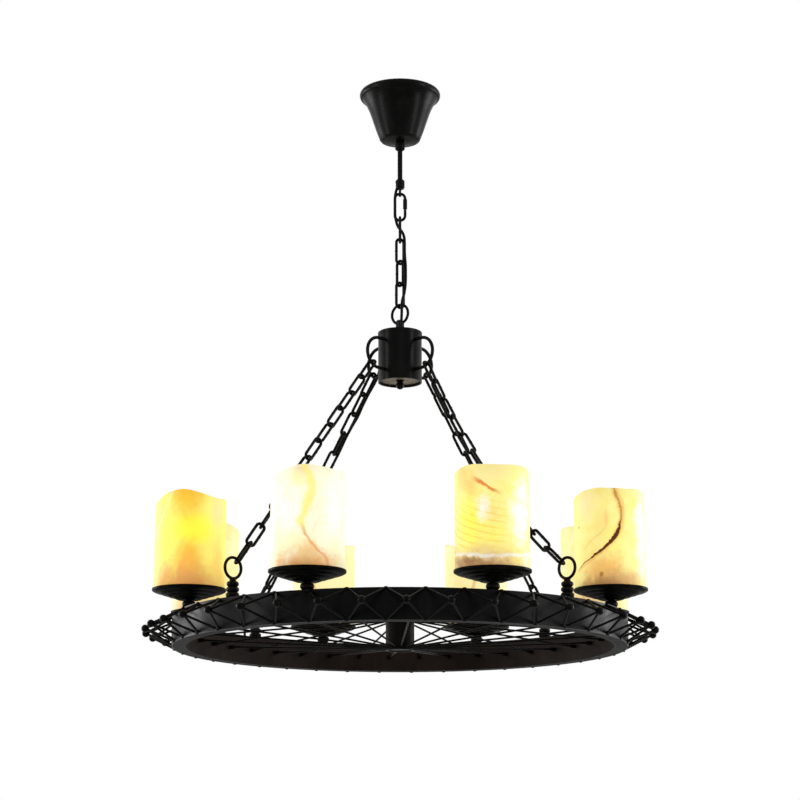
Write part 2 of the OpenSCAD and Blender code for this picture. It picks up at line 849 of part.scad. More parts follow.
// Each ball is tied to the band's top and bottom edges by four rods
module lattice_rods() {
  half = 180 / ball_count;
  apart = lattice_apart * 180 / (PI * ring_r);
  color(iron)
    for (i = [0:ball_count - 1], up = [-1, 1], s = [-1, 1]) {
      ball = round_ring(ring_r + ball_out, ball_az(i), z_ball_mid);
      foot = round_ring(ring_r - 0.6, ball_az(i) + s * (half - apart), z_ball_mid + up * (ring_h / 2 - lattice_low));
      bar(ball + rod_start * unit(foot - ball), foot, lattice_rod);
    }
}

module lattice_balls() {
  color(iron)
    for (i = [0:ball_count - 1])
      translate(round_ring(ring_r + ball_out, ball_az(i), z_ball_mid))
        sphere(d = ball_d, $fn = 32);
}

module spindle() {
  color(iron_light)
    translate([0, 0, z_ring_low - spindle_low])
      rotate_extrude()
        polygon([
          [0, 1.5], [spindle_d / 2 - 3.5, 1.5], [spindle_d / 2 - 3.5, 0], [spindle_d / 2 - 1, 0],
          [spindle_d / 2, 1], [spindle_d / 2, spindle_h - 1], [spindle_d / 2 - 1, spindle_h],
          [6, spindle_h], [5, spindle_h + 4], [0, spindle_h + 6]
        ]);
}

// Odd spokes run to the spindle's foot, even ones to its head
function spoke_az(i) = spoke_first + i * 360 / spoke_count;
function spoke_z(i) = i % 2 == 0 ? z_ring_low + z_spoke_low - spindle_low : z_ring_low + spindle_h - spindle_low - z_spoke_low;
function spoke_hub(i) = round_ring(spindle_d / 2 - spindle_in, spoke_az(i), spoke_z(i));
function spoke_end(i) = round_ring(inner_r - nipple_l + nipple_in, spoke_az(i), z_ball_mid);

module spokes() {
  color(iron)
    for (i = [0:spoke_count - 1])
      bar(spoke_hub(i), spoke_end(i), spoke_d);
}

module spoke_nipples() {
  color(iron)
    for (i = [0:spoke_count - 1])
      rotate([0, 0, turn(spoke_az(i))])
        translate([inner_r - nipple_l, 0, z_ball_mid])
          rotate([0, 90, 0]) {
            cylinder(h = nipple_l - 0.1, d = nipple_d);
            cylinder(h = nipple_l + ring_wall + 1.5, d = spoke_d);
          }
}

module at_lamp(i) {
  rotate([0, 0, turn(lamp_az[i])])
    translate([ring_mid_r, 0, z_ring_top])
      children();
}

// Hollow threaded stems, each with its flattened knob
module lamp_stems() {
  color(iron)
    for (i = [0:lamp_count - 1])
      at_lamp(i)
        difference() {
          union() {
            translate([0, 0, -stem_down])
              cylinder(h = stem_down + stem_up, d = shank_d);
            rotate_extrude()
              union() {
                translate([(knob_d - knob_h) / 2, knob_up + knob_h / 2])
                  circle(d = knob_h);
                translate([0, knob_up])
                  square([(knob_d - knob_h) / 2, knob_h]);
                square([shank_d / 2 + 1, pan_low]);
              }
          }
          translate([0, 0, -stem_down - 1])
            cylinder(h = stem_down + stem_up + 2, d = lead_d + 0.8);
        }
}

// Points of a cone's side from p to q that swells out in steps
function stepped(p, q, steps, swell) =
  let (run = q - p, out = [run.y, -run.x] / norm(run))
    [for (j = [0:steps - 1], t = [0:5]) p + run * (j + t / 6) / steps + out * swell * sin(180 * t / 6)];

// Cast dishes: a stepped cone outside, and a flat seat for the shade inside a low lip
module drip_pans() {
  seat_z = pan_h - pan_lip_h;
  seat_in = shade_d / 2 - shade_wall - 1;
  rise = seat_z - 0.6;
  dish_z = rise * (seat_in - 1 - pan_boss / 2) / (pan_d / 2 - pan_boss / 2) + pan_t;
  color(iron)
    for (i = [0:lamp_count - 1])
      at_lamp(i)
        translate([0, 0, pan_low])
          rotate_extrude($fn = 64)
            polygon(concat(
              [[shank_d / 2 + 0.05, 0]],
              stepped([pan_boss / 2, 0], [pan_d / 2, rise], pan_steps, pan_swell),
              [[pan_d / 2, rise], [pan_d / 2, pan_h], [pan_d / 2 - pan_lip_t, pan_h]],
              [[pan_d / 2 - pan_lip_t, seat_z], [seat_in, seat_z], [seat_in - 1, dish_z]],
              [[pan_floor_r, pan_floor], [shank_d / 2 + 0.05, pan_floor]]
            ));
}

module lamp_holders() {
  color("black")
    for (i = [0:lamp_count - 1])
      at_lamp(i)
        translate([0, 0, pan_low + pan_floor])
          difference() {
            union() {
              cylinder(h = 2.5, d = holder_d + 3);
              cylinder(h = holder_h, d = holder_d);
            }
            translate([0, 0, -1])
              cylinder(h = stem_up - pan_low - pan_floor + 1.5, d = shank_d + 0.1);
            translate([0, 0, holder_h - socket_deep])
              cylinder(h = socket_deep + 1, d = socket_d);
          }
}

z_bulb = pan_low + pan_floor + holder_h - socket_deep + fit_gap;
cap_d = 14;
cap_h = socket_deep + 0.5;
module bulb(n) {
  glass = bezier([cap_d / 2, cap_h], [bulb_d / 2 + 9, cap_h + 12], [bulb_d / 2 + 1, cap_h + 44], [0, cap_h + bulb_len], 16);
  color("white")
    at_lamp(n - 1)
      translate([0, 0, z_bulb])
        rotate_extrude()
          polygon(concat([[0, 0], [3, 0], [cap_d / 2, 2.5]], [for (p = glass) p]));
}

// A marble tube with a flat foot and a melted rim
function rim_z(w, a) = shade_h + w[0] + w[1] * cos(a - w[2]) + w[3] * cos(2 * a - w[4]) + w[5] * cos(3 * a - w[6]);
module shade(n) {
  w = rims[n - 1];
  r_out = shade_d / 2;
  r_in = r_out - shade_wall;
  edge = 1.8;
  // Each ring of points: radius, and a drop from the rim, or undef for the foot
  rings = [[r_in, undef], [r_out, undef], [r_out, edge], [r_out - edge, 0], [r_in + edge, 0], [r_in, edge]];
  points = [
    for (g = rings, k = [0:rim_sides - 1])
      let (a = 360 * k / rim_sides)
        [g[0] * cos(a), g[0] * sin(a), is_undef(g[1]) ? 0 : rim_z(w, a) - g[1]]
  ];
  faces = [
    for (j = [0:5], k = [0:rim_sides - 1])
      let (m = (k + 1) % rim_sides, a = j * rim_sides, b = ((j + 1) % 6) * rim_sides)
        each [[a + k, b + k, b + m], [a + k, b + m, a + m]]
  ];
  color(marble)
    at_lamp(n - 1)
      translate([0, 0, shade_seat])
        polyhedron(points = points, faces = faces, convexity = 6);
}

module main_cable() {
  color(cable_black)
    swept_tube(main_route, cable_d, [0, 1, 0], 10);
}

// A point given in a side chain's frame, in that chain's plane of [out, sideways, height]
function chain_point(p) =
  let (reach = loop_r + p[0])
    [
      loop_x + reach * cos(slant) + p[1] * sin(slant),
      p[2],
      z_loop_mid - reach * sin(slant) + p[1] * cos(slant)
    ];

module ring_cable() {
  from_hub = [for (p = hub_route) [p.x, p.y, z_loop_mid + p.z]];
  along = [for (p = weave_route) chain_point(p)];
  to_ring = [for (p = drop_route) [p.x, p.y, z_loop_mid + p.z]];
  entry = [ring_mid_r * cos(cable_step), ring_mid_r * sin(cable_step), z_ring_top];
  into = [[entry.x, entry.y, entry.z + 12], entry, [entry.x, entry.y, entry.z - ring_wall - 10]];
  color(cable_black)
    rotate([0, 0, turn(chain_az[cable_chain])])
      swept_tube(concat(from_hub, along, to_ring, into), ring_cable_d, [0, 1, 0], 8);
}

// Bundle of leads that lies round inside the ring, with one lead up each lamp stem
module ring_wiring() {
  color("white") {
    translate([0, 0, z_ring_low + ring_wall + wiring_d / 2 + fit_gap])
      rotate_extrude($fn = 96)
        translate([ring_mid_r, 0])
          circle(d = wiring_d);
    for (i = [0:lamp_count - 1])
      at_lamp(i)
        translate([0, 0, -ring_h + ring_wall + wiring_d])
          cylinder(h = ring_h - ring_wall - wiring_d + stem_up, d = lead_d);
  }
}

ceiling_bracket();
earth_screw();
terminal_block();
canopy();
canopy_nut();
stem_tube();
stem_lock_nuts();
stem_collar();
quick_link();
quick_link_sleeve();
center_link(1);  // center_link_1
center_link(2);  // center_link_2
center_link(3);  // center_link_3
center_link(4);  // center_link_4
hub_ring();
hub_nipple();
hub_lid();
hub_shell();
hub_base();
hub_tie_rod();
hub_finial();
hub_loops();
side_chain(1);  // side_chain_1
side_chain(2);  // side_chain_2
side_chain(3);  // side_chain_3
side_chain(4);  // side_chain_4
eye_bolts();
ring_nuts();
ring_outer_band();
ring_inner_band();
ring_top_plate();
ring_bottom_plate();
lattice_rods();
lattice_balls();
spindle();
spokes();
spoke_nipples();
lamp_stems();
drip_pans();
lamp_holders();
main_cable();
ring_cable();
ring_wiring();
bulb(1);  // bulb_1
bulb(2);  // bulb_2
bulb(3);  // bulb_3
bulb(4);  // bulb_4
bulb(5);  // bulb_5
bulb(6);  // bulb_6
bulb(7);  // bulb_7
bulb(8);  // bulb_8
shade(1);  // shade_1
shade(2);  // shade_2
shade(3);  // shade_3
shade(4);  // shade_4
shade(5);  // shade_5
shade(6);  // shade_6
shade(7);  // shade_7
shade(8);  // shade_8
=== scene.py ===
import bpy, bmesh, math
import numpy as np
from mathutils import Vector, Matrix, noise


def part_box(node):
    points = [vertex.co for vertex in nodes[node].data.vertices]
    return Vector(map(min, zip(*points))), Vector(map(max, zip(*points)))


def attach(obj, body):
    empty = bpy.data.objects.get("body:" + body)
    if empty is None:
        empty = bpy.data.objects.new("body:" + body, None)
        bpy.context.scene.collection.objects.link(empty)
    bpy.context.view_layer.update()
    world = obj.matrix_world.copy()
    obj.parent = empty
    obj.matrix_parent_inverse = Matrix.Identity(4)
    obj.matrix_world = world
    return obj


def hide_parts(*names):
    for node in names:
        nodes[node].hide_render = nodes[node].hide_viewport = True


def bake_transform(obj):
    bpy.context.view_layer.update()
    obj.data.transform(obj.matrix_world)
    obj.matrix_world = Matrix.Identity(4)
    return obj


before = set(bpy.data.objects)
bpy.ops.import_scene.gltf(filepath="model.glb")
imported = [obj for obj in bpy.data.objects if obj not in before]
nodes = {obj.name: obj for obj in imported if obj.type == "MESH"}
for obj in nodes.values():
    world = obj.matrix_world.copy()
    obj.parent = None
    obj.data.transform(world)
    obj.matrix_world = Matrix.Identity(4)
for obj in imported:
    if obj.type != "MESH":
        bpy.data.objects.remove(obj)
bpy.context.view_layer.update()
print("chandelier frame loaded,", len(nodes), "nodes")

bandLow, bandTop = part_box("ring_outer_band")
ringLow, ringTop, ringOuter = bandLow.z, bandTop.z, bandTop.x
lampInset = 0.011  # from the ring's outer side in to the lamps' axes
lampRadius = ringOuter - lampInset
lampAngles = [-22.5, 22.5, 67.5, 112.5, 157.5, -157.5, -112.5, -67.5]


# The camera, at the photograph's viewing angle
photoCamera = {
    "back": 3.2169,
    "belowRing": 0.3671,
    "tilt": 13.36,
    "lens": 93.22,
    "sensor": 36,
    "clipEnd": 60,
}
cameraData = bpy.data.cameras.new("photoCamera")
cameraData.lens = photoCamera["lens"]
cameraData.sensor_width = photoCamera["sensor"]
cameraData.clip_end = photoCamera["clipEnd"]
camera = bpy.data.objects.new("photoCamera", cameraData)
camera.location = (0, -photoCamera["back"], ringLow - photoCamera["belowRing"])
camera.rotation_euler = (math.radians(90 + photoCamera["tilt"]), 0, 0)
bpy.context.scene.collection.objects.link(camera)
bpy.context.scene.camera = camera
print("camera placed")


# Shader helpers
class Val:  # a shader value that Python arithmetic can be done on
    def __init__(self, tree, socket):
        self.tree, self.socket = tree, socket

    def math(self, operation, *others):
        return self.tree.add("ShaderNodeMath", {"operation": operation}, dict(enumerate((self, *others))))

    def __add__(self, other):
        return self.math("ADD", other)

    def __sub__(self, other):
        return self.math("SUBTRACT", other)

    def __rsub__(self, other):
        return self.tree.add("ShaderNodeMath", {"operation": "SUBTRACT"}, {0: other, 1: self})

    def __mul__(self, other):
        return self.math("MULTIPLY", other)

    def __truediv__(self, other):
        return self.math("DIVIDE", other)

    def __pow__(self, other):
        return self.math("POWER", other)

    def __abs__(self):
        return self.math("ABSOLUTE")

    __radd__ = __add__
    __rmul__ = __mul__

    def rise(self, low, high):  # smooth 0 to 1 between two values
        return self.tree.add(
            "ShaderNodeMapRange",
            {"interpolation_type": "SMOOTHSTEP"},
            {"Value": self, "From Min": low, "From Max": high, "To Min": 0.0, "To Max": 1.0},
        )

    def clip(self):
        return self.tree.add("ShaderNodeClamp", {}, {"Value": self})


class NodeTree:  # the nodes of one material or of the world
    def __init__(self, owner):
        owner.use_nodes = True
        self.owner, self.nodeTree = owner, owner.node_tree
        self.nodeTree.nodes.clear()

    def add(self, kind, settings, inputs, out=0):
        node = self.nodeTree.nodes.new(kind)
        for key, value in settings.items():
            if key == "bends":
                curve = node.mapping.curves[0]
                while len(curve.points) < len(value):
                    curve.points.new(0.5, 0.5)
                for point, spot in zip(curve.points, value):
                    point.location = spot
                node.mapping.update()
            else:
                setattr(node, key, value)
        for key, value in inputs.items():
            if isinstance(value, Val):
                self.nodeTree.links.new(value.socket, node.inputs[key])
            else:
                node.inputs[key].default_value = value
        return Val(self, node.outputs[out]) if len(node.outputs) else None

    def end(self, kind, shader):  # the output node, and what it belongs to
        self.add(kind, {}, {0: shader})
        return self.owner


class Paint(NodeTree):  # one material under construction
    def __init__(self, name):
        super().__init__(bpy.data.materials.new(name))
        self.here = self.add("ShaderNodeTexCoord", {}, {}, "Object")

    def noise(self, scale, detail=3.0, rough=0.5, twist=0.0, where=None):
        inputs = {"Scale": scale, "Detail": detail, "Roughness": rough, "Distortion": twist}
        inputs["Vector"] = where or self.here
        return self.add("ShaderNodeTexNoise", {"noise_dimensions": "3D"}, inputs)

    def mix(self, factor, a, b, how="MIX"):
        settings = {"data_type": "RGBA", "blend_type": how, "clamp_factor": True}
        return self.add("ShaderNodeMix", settings, {0: factor, 6: a, 7: b}, 2)

    def axes(self):
        split = self.add("ShaderNodeSeparateXYZ", {}, {0: self.here})
        return [Val(self, socket) for socket in split.socket.node.outputs]

    def shifted(self, amount, scale=(1, 1, 1)):
        return self.add("ShaderNodeMapping", {}, {0: self.here, 1: amount, 3: scale})

    def warped(self, vector, value, amount):  # a place pushed about by a noise value
        push = self.add("ShaderNodeCombineXYZ", {}, {0: value, 1: 1 - value, 2: value * 0.7})
        settings = {"operation": "MULTIPLY_ADD"}
        return self.add("ShaderNodeVectorMath", settings, {0: push, 1: (amount,) * 3, 2: vector})

    def bump(self, height, strength, distance):
        return self.add("ShaderNodeBump", {}, {"Height": height, "Strength": strength, "Distance": distance})

    def finish(self, inputs):
        return self.end("ShaderNodeOutputMaterial", self.add("ShaderNodeBsdfPrincipled", {}, inputs))


def tone(r, g, b):
    return (r, g, b, 1)


# Black iron: cloud and peel are the scales of its blotches and of its paint skin
ironLooks = {
    "satinIron": {
        "dark": (0.0012, 0.0011, 0.0010), "light": (0.0060, 0.0055, 0.0052),
        "rough": 0.30, "cloud": 22, "peel": 620, "dent": 0.10, "gloss": 1.13,
    },
    # The chain iron's light blotches are tinted warm: partly the iron's mottle, partly a painted reflection
    # of the shades' glow.
    "chainIron": {
        "dark": (0.0012, 0.0011, 0.0010), "light": (0.0080, 0.0058, 0.0047),
        "rough": 0.34, "cloud": 70, "peel": 900, "dent": 0.12, "gloss": 1.13,
    },
    "ringIron": {
        "dark": (0.0012, 0.0011, 0.0011), "light": (0.0068, 0.0064, 0.0062),
        "rough": 0.31, "cloud": 16, "peel": 520, "dent": 0.14, "gloss": 1.13,
    },
    # The inner band's iron is painted lighter and warmer than the other black iron: painted warm light; its
    # blotches are the iron's own.
    "innerIron": {
        "dark": (0.0064, 0.0042, 0.0034), "light": (0.0165, 0.0108, 0.0086),
        "rough": 0.52, "cloud": 13, "peel": 420, "dent": 0.2, "gloss": 1.13,
    },
    "underIron": {
        "dark": (0.0012, 0.0011, 0.0011), "light": (0.0070, 0.0062, 0.0058),
        "rough": 0.46, "cloud": 20, "peel": 480, "dent": 0.16, "gloss": 1.07,
    },
    "rodIron": {
        "dark": (0.0011, 0.0010, 0.0009), "light": (0.0050, 0.0044, 0.0040),
        "rough": 0.30, "cloud": 60, "peel": 900, "dent": 0.12, "gloss": 1.125,
    },
    "spokeIron": {
        "dark": (0.0011, 0.0010, 0.0009), "light": (0.0050, 0.0044, 0.0040),
        "rough": 0.30, "cloud": 60, "peel": 900, "dent": 0.12, "gloss": 1.075,
    },
    "ballIron": {
        "dark": (0.0011, 0.0010, 0.0009), "light": (0.0045, 0.0040, 0.0037),
        "rough": 0.21, "cloud": 60, "peel": 700, "dent": 0.12, "gloss": 1.118,
    },
    "panIron": {
        "dark": (0.0011, 0.0010, 0.0009), "light": (0.0050, 0.0045, 0.0042),
        "rough": 0.30, "cloud": 45, "peel": 340, "dent": 0.26, "gloss": 1.06,
    },
    # The cast iron's light blotches are tinted warm: partly the iron's mottle, partly a painted reflection
    # of the shades' glow.
    "castIron": {
        "dark": (0.0012, 0.0011, 0.0010), "light": (0.0074, 0.0056, 0.0047),
        "rough": 0.36, "cloud": 45, "peel": 340, "dent": 0.30, "gloss": 1.13,
    },
}
ironWear = {
    "streak": 9,
    "stretch": (6, 6, 1),
    "worn": (0.38, 0.72),
    "speck": (0.68, 0.78),
    "speckTone": (0.06, 0.053, 0.045),
    "speckMuch": 0.15,
    "roughSwing": 0.22,
    "skin": 0.002,
}


def ironPaint(name):
    look = ironLooks[name]
    paint = Paint(name)
    cloud = paint.noise(look["cloud"], 5, 0.6)
    peel = paint.noise(look["peel"], 2, 0.5)
    streak = paint.noise(ironWear["streak"], 4, 0.7, 0, paint.shifted((0, 0, 0), ironWear["stretch"]))
    worn = (cloud * 0.65 + streak * 0.35).rise(*ironWear["worn"])
    colour = paint.mix(worn, tone(*look["dark"]), tone(*look["light"]))
    speck = paint.noise(look["peel"] * 1.7, 1, 0.5).rise(*ironWear["speck"])
    colour = paint.mix(speck * ironWear["speckMuch"], colour, tone(*ironWear["speckTone"]))
    rough = look["rough"] + (cloud - 0.5) * ironWear["roughSwing"] + speck * ironWear["speckMuch"]
    return paint.finish({
        "Base Color": colour,
        "Roughness": rough.clip(),
        "IOR": look["gloss"],
        "Normal": paint.bump(peel * 0.7 + cloud * 0.3, look["dent"], ironWear["skin"]),
    })


# The hub's underside, its black iron painted a light taupe as painted light from below; the screws and nuts,
# and the plastics
paintedLightUndersideLook = {"dark": (0.105, 0.078, 0.058), "light": (0.19, 0.15, 0.12), "cloud": 38, "grain": 240}
platedLooks = {
    "zincPlate": {"dark": (0.42, 0.42, 0.41), "light": (0.62, 0.62, 0.60)},
    "brassScrew": {"dark": (0.60, 0.42, 0.16), "light": (0.78, 0.60, 0.28)},
}
plasticLooks = {
    "ivoryPlastic": {
        "dark": (0.72, 0.68, 0.58), "light": (0.82, 0.79, 0.70), "rough": 0.45, "grain": 500,
    },
    "holderPlastic": {
        "dark": (0.018, 0.017, 0.016), "light": (0.035, 0.033, 0.031), "rough": 0.5, "grain": 600,
    },
    "leadSleeve": {
        "dark": (0.62, 0.60, 0.55), "light": (0.75, 0.73, 0.68), "rough": 0.5, "grain": 700,
    },
}


def mottled(paint, cloud, look):  # from the look's dark tone to its light one
    return paint.mix(cloud.rise(0.3, 0.7), tone(*look["dark"]), tone(*look["light"]))


# painted light: the hub base's black iron painted taupe as if lit from below
def paintedLightUndersidePaint():
    paint = Paint("hubUnderside")
    cloud = paint.noise(paintedLightUndersideLook["cloud"], 5, 0.62)
    grain = paint.noise(paintedLightUndersideLook["grain"], 2, 0.5)
    return paint.finish({
        "Base Color": mottled(paint, cloud, paintedLightUndersideLook),
        "Roughness": 0.5 + (cloud - 0.5) * 0.3,
        "Specular IOR Level": 0.4,
        "Normal": paint.bump(grain, 0.1, 0.001),
    })


def platedPaint(name):
    paint = Paint(name)
    brush = paint.noise(60, 4, 0.6, 0, paint.shifted((0, 0, 0), (1, 1, 14)))
    blot = paint.noise(34, 3, 0.5)
    return paint.finish({
        "Base Color": mottled(paint, brush, platedLooks[name]),
        "Metallic": 1.0,
        "Roughness": 0.28 + blot * 0.25,
        "Normal": paint.bump(brush, 0.08, 0.0005),
    })


def plasticPaint(name):
    look = plasticLooks[name]
    paint = Paint(name)
    cloud = paint.noise(55, 3, 0.5)
    skin = paint.noise(look["grain"], 2, 0.6)
    return paint.finish({
        "Base Color": mottled(paint, cloud, look),
        "Roughness": look["rough"] + (cloud - 0.5) * 0.15,
        "Specular IOR Level": 0.4,
        "Normal": paint.bump(skin, 0.12, 0.0004),
    })


# Objects from points and faces
def placed(mesh):  # an object of this mesh in the scene, smooth all over
    for face in mesh.polygons:
        face.use_smooth = True
    made = bpy.data.objects.new(mesh.name, mesh)
    bpy.context.scene.collection.objects.link(made)
    return made


def objectFrom(name, vertices, faces):
    mesh = bpy.data.meshes.new(name)
    mesh.from_pydata(vertices, [], faces)
    mesh.validate()
    return placed(mesh)


def ringFaces(sides, rings, closed=False):  # the faces between rings of points
    faces = []
    for j in range(rings if closed else rings - 1):
        here, ahead = j * sides, (j + 1) % rings * sides
        for k in range(sides):
            beside = (k + 1) % sides
            faces.append((here + k, here + beside, ahead + beside, ahead + k))
    return faces


# Candle shades of honey marble. Places are shares of the width seen from outside and of the height.
# A patch has its place across and up, its half width and half height, its tone and its amount.
# A vein runs up through places (up, across), or across through places (across, up). It shows from
# "from" till "till", swells between the two shares of "thick" and pales after "fade".
# The rim rises by "rise" and by three waves, of one, two and three crests round the shade: each has
# its size in millimetres and its turn in degrees.
# Each shade's colour is also its emission: a painted glow of the bulb's light through the stone, as strong
# as "glow".
peach, orange = (0.93, 0.56, 0.27), (0.97, 0.52, 0.07)
